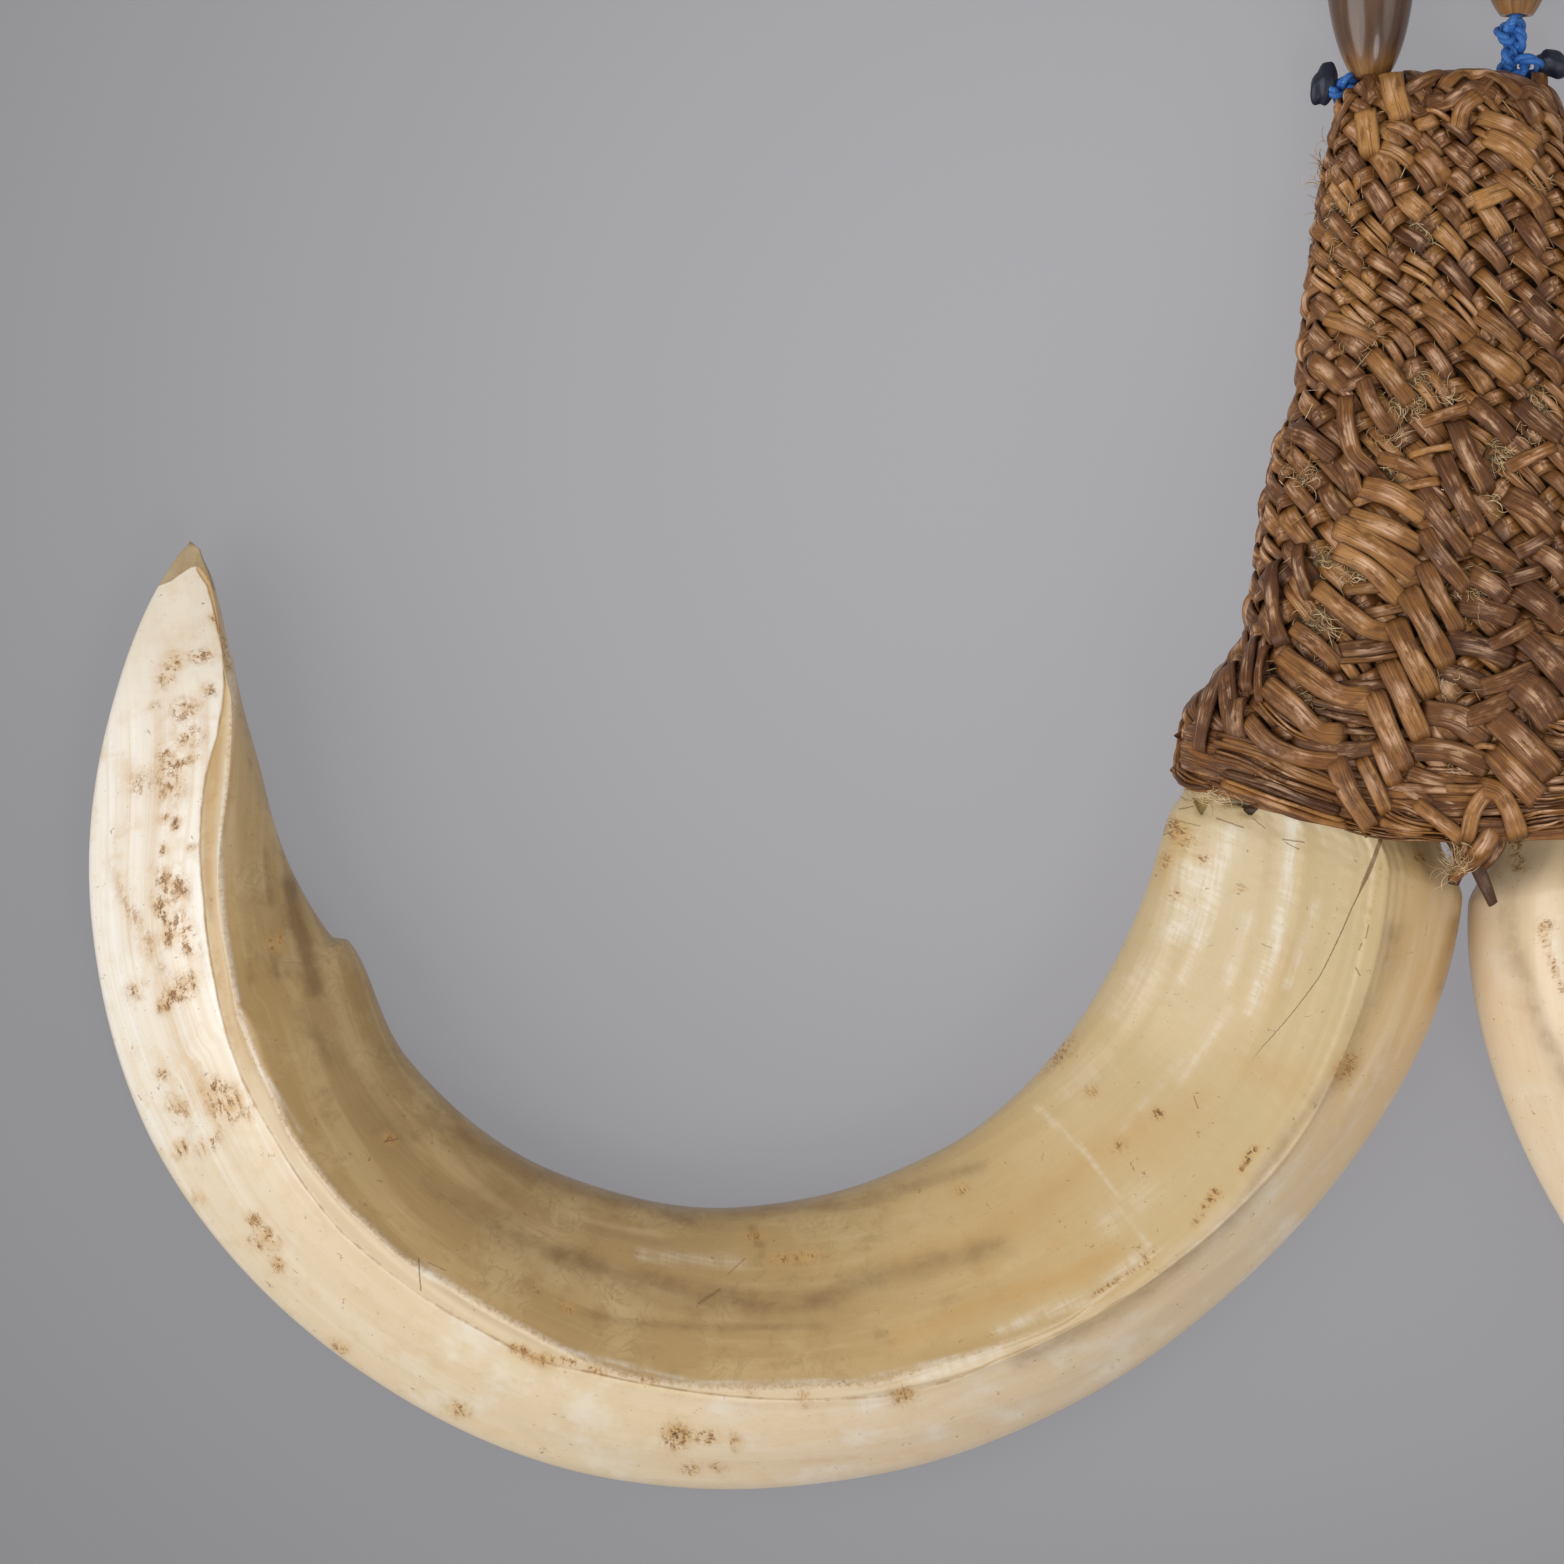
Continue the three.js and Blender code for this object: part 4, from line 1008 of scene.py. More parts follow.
def plaitStrips(family, pile, seed):
    # strips of one family lie along q = slope * p + index * pitch; they rise and dip as they cross the other's
    rng = np.random.default_rng(seed)
    pitch = plait["rowPitch"]
    isA = family == "A"
    steep, other = math.tan(math.radians(plait["slopeA"])), math.tan(math.radians(plait["slopeB"]))
    slope, cross = (steep, other) if isA else (-other, -steep)
    thick, rise = plait["thick" + family], plait["rise" + family]
    p = np.arange(-46.0, 46.0, 0.29)
    start = plait["coneStart"] / plait["power"]
    for index in range(-60, 80):
        straight = slope * p + index * pitch
        phase = (straight + cross * p) / pitch - index
        wave = (1.0 if isA else -1.0) * np.cos(np.pi * phase)
        shape = 1 - 2 * ((1 - wave) / 2) ** 1.8 if isA else -1 + 2 * ((1 + wave) / 2) ** 1.5
        q = start + straight + 0.14 * wander(p, 4000 + seed + 31 * index, 0.9)
        around, down = rollUp(p, q)
        inside = (around > -0.25) & (around < 0.75) & (down > 0.0) & (down < plait["lastDown"])
        changes = np.flatnonzero(np.diff(np.concatenate(([0], inside.astype(int), [0]))))
        for begin, end in changes.reshape(-1, 2):
            if end - begin < 8:
                continue
            run = slice(begin, end)
            seedHere = 9000 + seed + 57 * index
            tone, split = rng.uniform(0, 1), rng.uniform() < (0.3 if isA else 0.2)
            width = plait["width" + family] * rng.uniform(0.84, 1.1)
            step = np.arange(end - begin)
            tuck = np.clip(1 - np.minimum(step, step[::-1]) / 4.0, 0, 1)
            height = rise * shape[run] * (1 + 0.3 * wander(p[run], seedHere + 3, 0.8)) - 0.55 * tuck
            height = height - sunkenForHand(around[run], down[run])
            roll = (0.14 if isA else 0.0) + 0.2 * wander(p[run], seedHere + 9, 1.2)
            along = np.cumsum(np.hypot(np.gradient(p[run]), np.gradient(q[run])))
            shown = np.floor(phase[run] / 2 + 0.5)  # each piece that shows has a tone of its own
            chance = (np.sin(shown * 12.9898 + index * 78.233 + (0 if isA else 3.3)) * 43758.5453) % 1.0
            shade = 0.45 * tone + 0.55 * chance
            lean = unit(np.stack((np.gradient(p[run]), np.gradient(q[run])), -1))
            # painted shade: a strip is darker where it dips under the other family
            raised = (0.5 + 0.5 * shape[run])[:, None]
            pieces = [(-0.27, 0.52), (0.28, 0.46)] if split else [(0.0, 1.0)]
            for number, (place, part) in enumerate(pieces):
                apart = 1 + 0.25 * wander(p[run], seedHere + 20 + number, 0.8)
                half = width / 2 * part * (1 + 0.1 * wander(p[run], seedHere + 5 + number, 0.6)) * (1 - 0.5 * tuck)
                offset = place * width * apart
                rings, wide = stripRings(p[run] - lean[:, 1] * offset, q[run] + lean[:, 0] * offset,
                                         height + 0.05 * number, half, thick, roll)
                cane = together(along[:, None] + 17.3 * index, wide * half[:, None] + offset[:, None],
                                np.clip(shade + 0.12 * number, 0, 1)[:, None])
                pile.tube(rings, cane=cane, level=together(raised, np.abs(wide), raised))


def ribbon(pile, path, normals, width, thick, lift, tone, seed, roll=0.0, tucks=(1, 1), raised=1.0, arch=0.0,
           hollow=0.12, taper=0.0):
    # a strip carried along points in space; tucks say which ends run on a little and dive under their neighbours.
    # Its level layer carries painted shade: darker where it dives, towards its ends when arched, and as its lit
    # share falls
    if any(tucks):
        steps = np.arange(1, 4)[:, None] * 0.15
        first, last = unit(path[0] - path[1]), unit(path[-1] - path[-2])
        ahead, behind = (path[0] + first * steps)[::-1], path[-1] + last * steps
        path = np.concatenate((ahead if tucks[0] else path[:0], path, behind if tucks[1] else path[:0]))
        before, after = normals[:1].repeat(3 * tucks[0], 0), normals[-1:].repeat(3 * tucks[1], 0)
        normals = np.concatenate((before, normals, after))
    run = runAlong(path)
    reach = max(run[-1], 0.1)
    near = np.stack((run if tucks[0] else run + 9, reach - run if tucks[1] else reach - run + 9)).min(0)
    dive = np.clip(1 - near / min(0.9, 0.3 * reach), 0, 1) ** 1.7
    direction = unit(np.gradient(path, axis=0))
    side = unit(np.cross(direction, normals))
    upward = np.cross(side, direction)
    wide, deep = stripSection()
    half = width / 2 * (1 + 0.09 * wander(run, seed, 0.8)) * (1 - 0.12 * dive) * (1 - taper * (run / reach) ** 1.5)
    offset = half[:, None] * wide
    bend = roll + 0.16 * wander(run, seed + 1, 0.6)
    bow = np.sin(np.pi * run / reach)
    rise = lift + arch * (bow - 0.6) + 0.06 * wander(run, seed + 2, 0.9) - 0.95 * dive
    rise = rise[:, None] + bend[:, None] * offset + thick / 2 * deep + hollow * (1 - wide**2)
    rings = path[:, None] + offset[..., None] * side[:, None] + rise[..., None] * upward[:, None]
    rings[..., 2] = np.maximum(rings[..., 2], 0.05 + 0.02 * deep)
    cane = together(run[:, None] + 3.7 * seed, offset, tone)
    # painted shade where the strip dives and towards its arched ends
    shown = raised * (1 - 0.8 * dive) * (1 - 2.2 * arch * (1 - bow))
    pile.tube(rings, cane=cane, level=together(shown[:, None], np.abs(wide), bow[:, None]))


def pixelPath(pixels, count, mirrored=False):
    path = curveThrough([(a, b, 0.0) for a, b in pixels], count)
    points = underPixels(path[:, 0], path[:, 1])
    if mirrored:
        points[:, 0] = 2 * cover["hemX"] - points[:, 0]
        points[:, 2] = frontHeight(points[:, 0], points[:, 1], cover)
    return points, frontNormals(points[:, 0], points[:, 1])


# strips given one by one, by pixels of the photograph: width in pixels, lift in millimetres, tone 0 dark to 1 pale,
# and the points it runs through
handStrips = {
    "crossing": [  # nearly level pieces that run behind the steep ones
        (14, 0.15, 0.6, (1343, 591), (1380, 587), (1424, 580)),
        (12, 0.1, 0.5, (1362, 616), (1385, 611), (1408, 606)),
        (18, 0.15, 0.35, (1339, 651), (1368, 649), (1400, 643)),
        (6, 0.3, 0.8, (1339, 663), (1370, 661), (1400, 656)),
        (13, 0.15, 0.55, (1337, 688), (1362, 687), (1392, 685)),
        (4, 0.3, 0.9, (1350, 694), (1372, 694), (1392, 692)),
        (9, 0.15, 0.45, (1311, 710), (1345, 718), (1378, 724)),
        (8, 0.12, 0.5, (1309, 701), (1345, 710), (1374, 712)),
        (7, 0.1, 0.4, (1322, 725), (1350, 731), (1380, 733)),
        (18, 0.3, 0.5, (1294, 741), (1330, 750), (1380, 748)),
        (16, 0.45, 0.55, (1504, 582), (1524, 577), (1543, 571)),
        (16, 0.45, 0.5, (1514, 556), (1530, 549), (1549, 538)),
        (16, 0.4, 0.65, (1488, 648), (1510, 638), (1533, 626)),
        (20, 0.5, 0.6, (1480, 689), (1505, 683), (1535, 670)),
        (20, 0.5, 0.62, (1464, 719), (1488, 711), (1512, 699)),
        (24, 0.1, 0.15, (1444, 641), (1480, 648), (1514, 660)),
        (20, 0.05, 0.2, (1426, 668), (1460, 676), (1490, 690)),
        (24, 0.15, 0.2, (1457, 603), (1485, 610), (1516, 621)),
        (28, 0.25, 0.3, (1422, 712), (1455, 718), (1490, 740)),
        (24, 0.3, 0.4, (1411, 748), (1450, 752), (1490, 768)),
        (7, 0.6, 0.9, (1474, 747), (1484, 746), (1495, 748)),
        (9, 0.45, 0.75, (1444, 788), (1470, 789), (1498, 787)),
        (16, 0.15, 0.3, (1406, 772), (1430, 780), (1456, 786)),
        (14, 0.0, 0.1, (1436, 800), (1452, 806), (1470, 812)),
        (22, 0.2, 0.35, (1536, 640), (1552, 646), (1572, 650)),
        (14, 0.2, 0.4, (1545, 700), (1560, 704), (1580, 706)),
        (16, 0.15, 0.3, (1540, 740), (1560, 744), (1584, 742)),
        (9, 0.2, 0.35, (1545, 764), (1562, 766), (1586, 762)),
        (16, 0.1, 0.3, (1392, 785), (1410, 792), (1432, 806)),
        (12, 0.1, 0.3, (1398, 744), (1420, 750), (1440, 752)),
    ],
    "steep": [  # long steep pieces on top
        (21, 0.45, 0.5, (1419, 490), (1440, 520), (1467, 553)),
        (22, 0.5, 0.55, (1448, 478), (1462, 503), (1478, 534)),
        (20, 0.5, 0.45, (1422, 531), (1440, 560), (1465, 590)),
        (20, 0.6, 0.62, (1422, 564), (1436, 595), (1457, 631)),
        (24, 0.75, 0.66, (1406, 592), (1424, 626), (1445, 666)),
        (24, 0.8, 0.7, (1394, 623), (1410, 658), (1430, 695)),
        (23, 0.8, 0.68, (1387, 664), (1402, 698), (1421, 738)),
        (23, 0.8, 0.6, (1372, 694), (1387, 730), (1405, 769)),
        (18, 0.6, 0.55, (1378, 741), (1385, 760), (1395, 785)),
        (22, 0.75, 0.55, (1336, 758), (1347, 790), (1371, 829)),
        (17, 0.7, 0.58, (1362, 760), (1375, 786), (1386, 812)),
        (24, 0.4, 0.5, (1361, 487), (1392, 497), (1425, 518)),
        (20, 0.45, 0.45, (1348, 516), (1382, 528), (1420, 548)),
        (26, 0.5, 0.5, (1336, 527), (1372, 546), (1416, 577)),
        (20, 0.55, 0.55, (1336, 552), (1366, 568), (1401, 602)),
        (20, 0.55, 0.6, (1317, 588), (1350, 616), (1368, 630), (1394, 636)),
        (17, 0.5, 0.5, (1294, 628), (1314, 644), (1338, 667)),
        (24, 0.6, 0.62, (1282, 656), (1310, 678), (1341, 697), (1372, 700)),
        (23, 0.65, 0.66, (1267, 686), (1296, 710), (1322, 733), (1343, 735)),
        (19, 0.6, 0.55, (1248, 720), (1272, 745), (1303, 758), (1340, 762)),
        (18, 0.5, 0.4, (1277, 563), (1277, 600), (1283, 644)),
        (14, 0.5, 0.5, (1300, 546), (1302, 570), (1309, 597)),
        (18, 0.4, 0.45, (1326, 488), (1332, 503), (1345, 520)),
        (22, 0.5, 0.7, (1535, 552), (1550, 562), (1570, 580)),
        (27, 0.5, 0.45, (1517, 588), (1540, 606), (1566, 630)),
        (22, 0.4, 0.5, (1472, 543), (1494, 555), (1519, 570)),
        (22, 0.35, 0.45, (1468, 574), (1488, 585), (1508, 600)),
        (33, 0.65, 0.6, (1514, 683), (1533, 698), (1553, 724)),
        (26, 0.5, 0.5, (1522, 638), (1546, 660), (1572, 690)),
        (30, 0.75, 0.62, (1493, 717), (1520, 742), (1552, 775)),
        (28, 0.8, 0.75, (1491, 750), (1510, 772), (1538, 800)),
        (20, 0.55, 0.45, (1241, 700), (1238, 720), (1240, 742)),
        (20, 0.5, 0.5, (1233, 668), (1232, 700), (1239, 741)),
        (21, 0.55, 0.35, (1224, 676), (1212, 710), (1203, 752)),
        (16, 0.3, 0.3, (1256, 640), (1252, 662), (1247, 690)),
        (9, 0.5, 0.3, (1269, 648), (1262, 676), (1261, 705)),
        (16, 0.7, 0.6, (1415, 803), (1434, 818), (1460, 838)),
        (12, 0.4, 0.6, (1378, 822), (1398, 830), (1424, 833)),
        (17, 0.75, 0.6, (1502, 790), (1484, 795), (1472, 812), (1466, 838)),
        (20, 0.85, 0.55, (1480, 786), (1496, 792), (1508, 810), (1517, 836)),
    ],
    "middle": [  # rough pieces half way up, over pads of fibre
        (16, 0.1, 0.25, (1376, 457), (1402, 466), (1429, 479)),
        (8, 0.45, 0.9, (1410, 457), (1432, 452), (1454, 448)),
        (14, 0.2, 0.4, (1420, 424), (1446, 416), (1470, 407)),
        (10, 0.3, 0.6, (1394, 491), (1418, 486), (1441, 482)),
        (15, 0.25, 0.45, (1505, 470), (1530, 458), (1556, 446)),
        (13, 0.2, 0.3, (1340, 392), (1358, 384), (1380, 380)),
        (16, 0.3, 0.7, (1326, 318), (1350, 328), (1376, 342)),
        (19, 0.5, 0.7, (1371, 354), (1388, 376), (1410, 404)),
        (19, 0.4, 0.68, (1424, 304), (1446, 320), (1472, 342)),
        (22, 0.55, 0.75, (1467, 344), (1490, 361), (1517, 382)),
        (20, 0.4, 0.66, (1476, 314), (1496, 330), (1517, 350)),
        (20, 0.35, 0.6, (1314, 360), (1328, 372), (1344, 390)),
        (19, 0.6, 0.62, (1347, 398), (1349, 434), (1356, 458), (1371, 472)),
        (17, 0.55, 0.6, (1363, 380), (1373, 408), (1390, 434)),
        (21, 0.4, 0.55, (1291, 432), (1312, 442), (1335, 458)),
        (21, 0.6, 0.4, (1454, 424), (1468, 458), (1486, 492)),
        (20, 0.45, 0.5, (1470, 405), (1488, 420), (1511, 442)),
        (19, 0.55, 0.35, (1440, 456), (1458, 496), (1475, 530)),
        (17, 0.35, 0.55, (1340, 459), (1350, 474), (1357, 496)),
        (19, 0.4, 0.4, (1516, 404), (1536, 424), (1560, 440)),
        (22, 0.45, 0.6, (1506, 496), (1530, 510), (1556, 532)),
        (20, 0.35, 0.45, (1524, 300), (1540, 318), (1560, 336)),
    ],
    "rim": [  # the ends round the top
        (25, 0.75, 0.75, (1391, 79), (1394, 97), (1401, 121)),
        (23, 0.7, 0.78, (1367, 113), (1369, 130), (1371, 155)),
        (12, 0.3, 0.2, (1356, 96), (1346, 116), (1336, 142)),
        (15, 0.6, 0.35, (1443, 90), (1468, 78), (1499, 86), (1520, 101)),
        (18, 0.5, 0.45, (1457, 131), (1462, 112), (1479, 98)),
        (21, 0.5, 0.55, (1478, 118), (1505, 128), (1537, 148)),
        (21, 0.55, 0.6, (1484, 138), (1506, 150), (1532, 170)),
        (20, 0.55, 0.85, (1474, 204), (1490, 198), (1509, 190)),
        (18, 0.5, 0.6, (1498, 174), (1516, 188), (1538, 209)),
        (13, 0.5, 0.7, (1416, 128), (1426, 126), (1436, 120)),
        (15, 0.45, 0.45, (1387, 126), (1402, 131), (1419, 142)),
        (15, 0.5, 0.7, (1380, 148), (1395, 154), (1412, 166)),
        (20, 0.5, 0.6, (1419, 153), (1430, 164), (1445, 182)),
        (6, 0.5, 0.7, (1424, 112), (1436, 115), (1450, 124)),
        (12, 0.3, 0.3, (1424, 104), (1438, 102), (1452, 104)),
        (22, 0.4, 0.4, (1520, 100), (1528, 112), (1536, 126)),
        (16, 0.4, 0.3, (1545, 92), (1552, 106), (1560, 124)),
        (14, 0.4, 0.5, (1346, 160), (1340, 172), (1345, 186)),
    ],
}
# long bundles of fine strands near the hem: width in pixels, strands, lift, points
bundles = [
    (30, 6, 0.35, (1214, 744), (1246, 752), (1291, 774), (1345, 795)),
    (26, 5, 0.35, (1216, 776), (1259, 791), (1305, 808), (1347, 821)),
    (13, 5, 0.3, (1340, 822), (1362, 829), (1400, 834), (1452, 838)),
    (13, 4, 0.25, (1186, 735), (1179, 762), (1190, 781), (1214, 789)),
    (14, 5, 0.4, (1506, 800), (1535, 800), (1568, 797)), (18, 6, 0.35, (1512, 826), (1540, 819), (1574, 815)),
    (12, 4, 0.2, (1262, 700), (1290, 726), (1322, 742)), (12, 4, 0.15, (1232, 742), (1262, 756), (1300, 766)),
    (18, 6, 0.2, (1384, 806), (1410, 816), (1440, 824)), (14, 4, 0.3, (1540, 722), (1562, 728), (1584, 728)),
]


def layByHand(pile):
    seed = 100
    for group in ("crossing", "middle", "steep", "rim"):
        for width, lift, tone, *pixels in handStrips[group]:
            whole = max(a for a, _ in pixels) < 1404 and min(b for _, b in pixels) > 480
            for mirrored in (False, True) if whole else (False,):
                path, normals = pixelPath(pixels, 26, mirrored)
                # pieces behind the steep ones are painted partly shaded
                raised = 0.55 if group == "crossing" else 1.0
                tone = min(max(tone + 0.28 * math.sin(seed * 1.7), 0.0), 1.0)
                ribbon(pile, path, normals, width * pixel, 0.36, lift + 0.1, tone, seed, raised=raised,
                       arch=0.12 if group == "crossing" else 0.24, hollow=0.10)
                seed += 11
    for width, strands, lift, *pixels in bundles:
        whole = max(a for a, _ in pixels) < 1404
        for mirrored in (False, True) if whole else (False,):
            layBundle(pile, pixels, width, strands, lift, seed, mirrored)
            seed += 97


def layBundle(pile, pixels, width, strands, lift, seed, mirrored):
    rng = np.random.default_rng(seed)
    path, normals = pixelPath(pixels, 40, mirrored)
    side = unit(np.cross(unit(np.gradient(path, axis=0)), normals))
    step = np.linspace(0, 1, 40)
    for strand in range(strands):
        place = (strand + 0.5) / strands - 0.5 + rng.uniform(-0.06, 0.06)
        drift = place * width * pixel * (0.75 + 0.35 * np.sin(np.pi * step))
        drift = drift + 0.08 * wander(step * 9, seed + strand, 1.0)
        cut = slice(int(rng.uniform(0, 5)), 40 - int(rng.uniform(0, 5)))
        fat = width * pixel / strands * rng.uniform(0.85, 1.45)
        height = lift + rng.uniform(-0.12, 0.2) + 0.25 * (1 - 4 * place**2)
        ribbon(pile, (path + drift[:, None] * side)[cut], normals[cut], fat, 0.42, height, rng.uniform(0.0, 0.95),
               seed + strand, roll=rng.uniform(-0.4, 0.4), hollow=0.2, raised=rng.uniform(0.3, 1.0))


def layOnCover(pile, around, down, height, *values, **shape):  # a ribbon along places on the cover's surface
    normals = unit(surface.sample(surface.normals, around, down))
    ribbon(pile, surface.place(around, down, height), normals, *values, **shape)


# the hem: places as shares of the way down the cover and of its girth, heights and thicknesses in millimetres
hem = {"strands": 11, "first": 0.915, "apart": 0.0085, "sink": -0.1, "swell": 0.3, "strandThick": 0.42,
       "wraps": np.arange(0.42, 1.0, 0.03), "wrapTop": 0.90, "wrapReach": 0.095, "wrapLean": 0.016,
       "wrapThick": 0.44, "wrapLift": 0.45}


def layHem(pile, values):
    # strands round the whole hem, with short wraps over them; the bundles cover them at the front
    rng = np.random.default_rng(77)
    around = np.linspace(0.0, 1.0, 360)
    for strand in range(values["strands"]):
        down = values["first"] + values["apart"] * strand + 0.004 * wander(around * 30, 300 + strand, 1.0)
        height = values["sink"] + values["swell"] * math.sin(math.pi * strand / (values["strands"] - 1))
        height = height + 0.1 * wander(around * 40, 400 + strand, 1.0)
        start = rng.uniform(0, 1)
        layOnCover(pile, (around + start) % 1.0, down, height, rng.uniform(0.7, 1.0), values["strandThick"], 0.0,
                   rng.uniform(0.25, 0.7), 500 + strand, raised=0.8)
    step = np.linspace(0, 1, 24)
    for number, place in enumerate(values["wraps"]):
        where = place + values["wrapLean"] * step + rng.uniform(-0.004, 0.004)
        layOnCover(pile, where, values["wrapTop"] + values["wrapReach"] * step, 0 * step, rng.uniform(1.2, 1.7),
                   values["wrapThick"], values["wrapLift"], rng.uniform(0.3, 0.7), 600 + number)


# strips along the top's edge: from and to, as shares of the girth, and how far down the cover
topStrips = [(0.10, 0.24, 0.012), (0.20, 0.34, 0.03), (0.29, 0.44, 0.014), (0.37, 0.46, 0.035), (0.13, 0.2, 0.04)]


def layOver(pile):
    # strips that fold over the top from the front to the back
    rng = np.random.default_rng(5)
    for number, place in enumerate(np.linspace(0.07, 0.43, 9)):
        other = 1.0 - place + rng.uniform(-0.02, 0.02)
        lean = rng.uniform(-0.03, 0.03)
        front = surface.place([place, place + lean], [rng.uniform(0.03, 0.06), 0.012], [-0.1, 0.1])
        back = surface.place([other, other + lean], [0.02, 0.075], [0.4, 0.3])
        top = (front[1] + back[0]) / 2
        top[1] = cover["topY"] + rng.uniform(0.25, 0.75)
        path = curveThrough([front[0], front[1], top, back[0], back[1]], 40)
        middle = np.array((top[0], cover["topY"] - 3.0, top[2]))
        ribbon(pile, path, unit(path - middle), rng.uniform(1.3, 2.1), 0.40, 0.1, rng.uniform(0.1, 0.5),
               700 + number, raised=0.7)
    # others run along the top's edge, bound in and out
    for number, (start, end, down) in enumerate(topStrips):
        step = np.linspace(0, 1, 30)
        where, below = start + (end - start) * step, down + 0.012 * np.sin(step * 5 + number)
        layOnCover(pile, where, below, 0.25 + 0.2 * np.sin(np.pi * step), rng.uniform(1.1, 1.7), 0.40, 0.1,
                   rng.uniform(0.2, 0.5), 720 + number, raised=0.8)


# strips that bow out past the left edge: width and points in pixels
edgeLoops = [
    (8, (1296, 428), (1284, 436), (1280, 452), (1292, 464)),
    (8, (1290, 452), (1276, 466), (1275, 484), (1288, 496)),
    (8, (1284, 480), (1270, 494), (1269, 516), (1284, 530)),
    (7, (1280, 512), (1267, 526), (1266, 548), (1280, 560)),
    (8, (1278, 540), (1264, 554), (1265, 576), (1276, 590)),
    (9, (1316, 330), (1307, 342), (1308, 356), (1320, 364)),
    (8, (1322, 286), (1311, 296), (1312, 310), (1324, 318)),
    (9, (1268, 590), (1254, 600), (1252, 622), (1264, 640)),
]


def layLoops(pile):
    # they tuck back in, each with a little air behind it
    for number, (width, *pixels) in enumerate(edgeLoops):
        flat = np.array([photoPoint(*p) for p in pixels])
        flat[1:3, 0] -= 0.35
        depth = 8.5 + 1.2 * math.sin(number * 2.1)
        path = curveThrough(np.column_stack((flat, depth + np.array([0.8, 0.3, -0.3, -0.8]))), 26)
        normals = np.tile(unit(np.array((-0.9, 0.0, 0.75 + 0.2 * math.sin(number)))), (26, 1))
        ribbon(pile, path, normals, width * pixel * 1.25, 0.36, 0.0, 0.3 + 0.05 * number, 800 + number,
               tucks=(0, 0))


# the knot at the middle of the hem: width in pixels, taper, tone, pixels with heights in millimetres; the last, of
# tone 0, is a dark strip laid in the knot's shade and painted shaded
knotStrips = [
    (28, 0.75, 0.6, (1496, 808, 20.0), (1494, 824, 21.5), (1486, 842, 22.0), (1474, 858, 20.8), (1461, 870, 19.2),
     (1452, 880, 18.2)),
    (17, 0.3, 0.35, (1476, 816, 20.6), (1470, 832, 21.0), (1467, 848, 20.0), (1461, 864, 18.4)),
    (16, 0.4, 0.25, (1497, 826, 20.2), (1500, 840, 20.2), (1494, 854, 19.2), (1482, 868, 18.0)),
    (20, 0.3, 0.0, (1442, 822, 19.0), (1452, 834, 19.2), (1460, 850, 18.8), (1462, 868, 17.8)),
]
# the knot's two dark tails take the painted shade in full; the second is a dark strip laid where there is only the
# knot's shadow
knotTails = [
    (16, 0.35, 0.35, (1475, 860, 18.6), (1481, 876, 18.2), (1487, 890, 17.8), (1493, 904, 17.4)),
    (17, 0.35, 0.2, (1466, 858, 18.6), (1459, 868, 18.2), (1453, 884, 17.6)),
]


def layKnot(pile):
    middle = np.array(underPixel(1482, 832, 12.0))
    for number, (width, taper, tone, *points) in enumerate(knotStrips):
        path = curveThrough([underPixel(*point) for point in points], 34)
        # the strip of tone 0 is painted shaded
        ribbon(pile, path, unit(path - middle), width * pixel, 0.4, 0.0, tone, 900 + number,
               raised=0.95 if tone else 0.2, hollow=0.34, taper=taper)
    # the knot's heart, wound under those strips and painted mostly shaded
    turn = np.linspace(0, np.pi, 14)[1:-1, None]
    around = 2 * np.pi * np.arange(20) / 20
    heart = together(np.sin(turn) * np.cos(around), -np.cos(turn), np.sin(turn) * np.sin(around)) * (1.35, 2.3, 1.7)
    pile.tube(heart + underPixel(1478, 840, 18.9), cane=together(2.3 * turn, around * 1.2, 0.3), level=0.2)
    for width, taper, tone, *points in knotTails:
        path = curveThrough([underPixel(*point) for point in points], 20)
        ribbon(pile, path, np.tile((0.2, 0.0, 0.97), (20, 1)), width * pixel, 0.35, 0.0, tone, 950 + width,
               tucks=(0, 0), raised=0.0, taper=taper)
    sliver = curveThrough([(-6.6, 55.0, 5.6), (-5.8, 55.9, 6.0), (-4.9, 56.5, 6.3)], 12)
    ribbon(pile, sliver, np.tile((0.0, -0.3, 0.95), (12, 1)), 0.5, 0.3, 0.0, 0.3, 951, tucks=(0, 0))


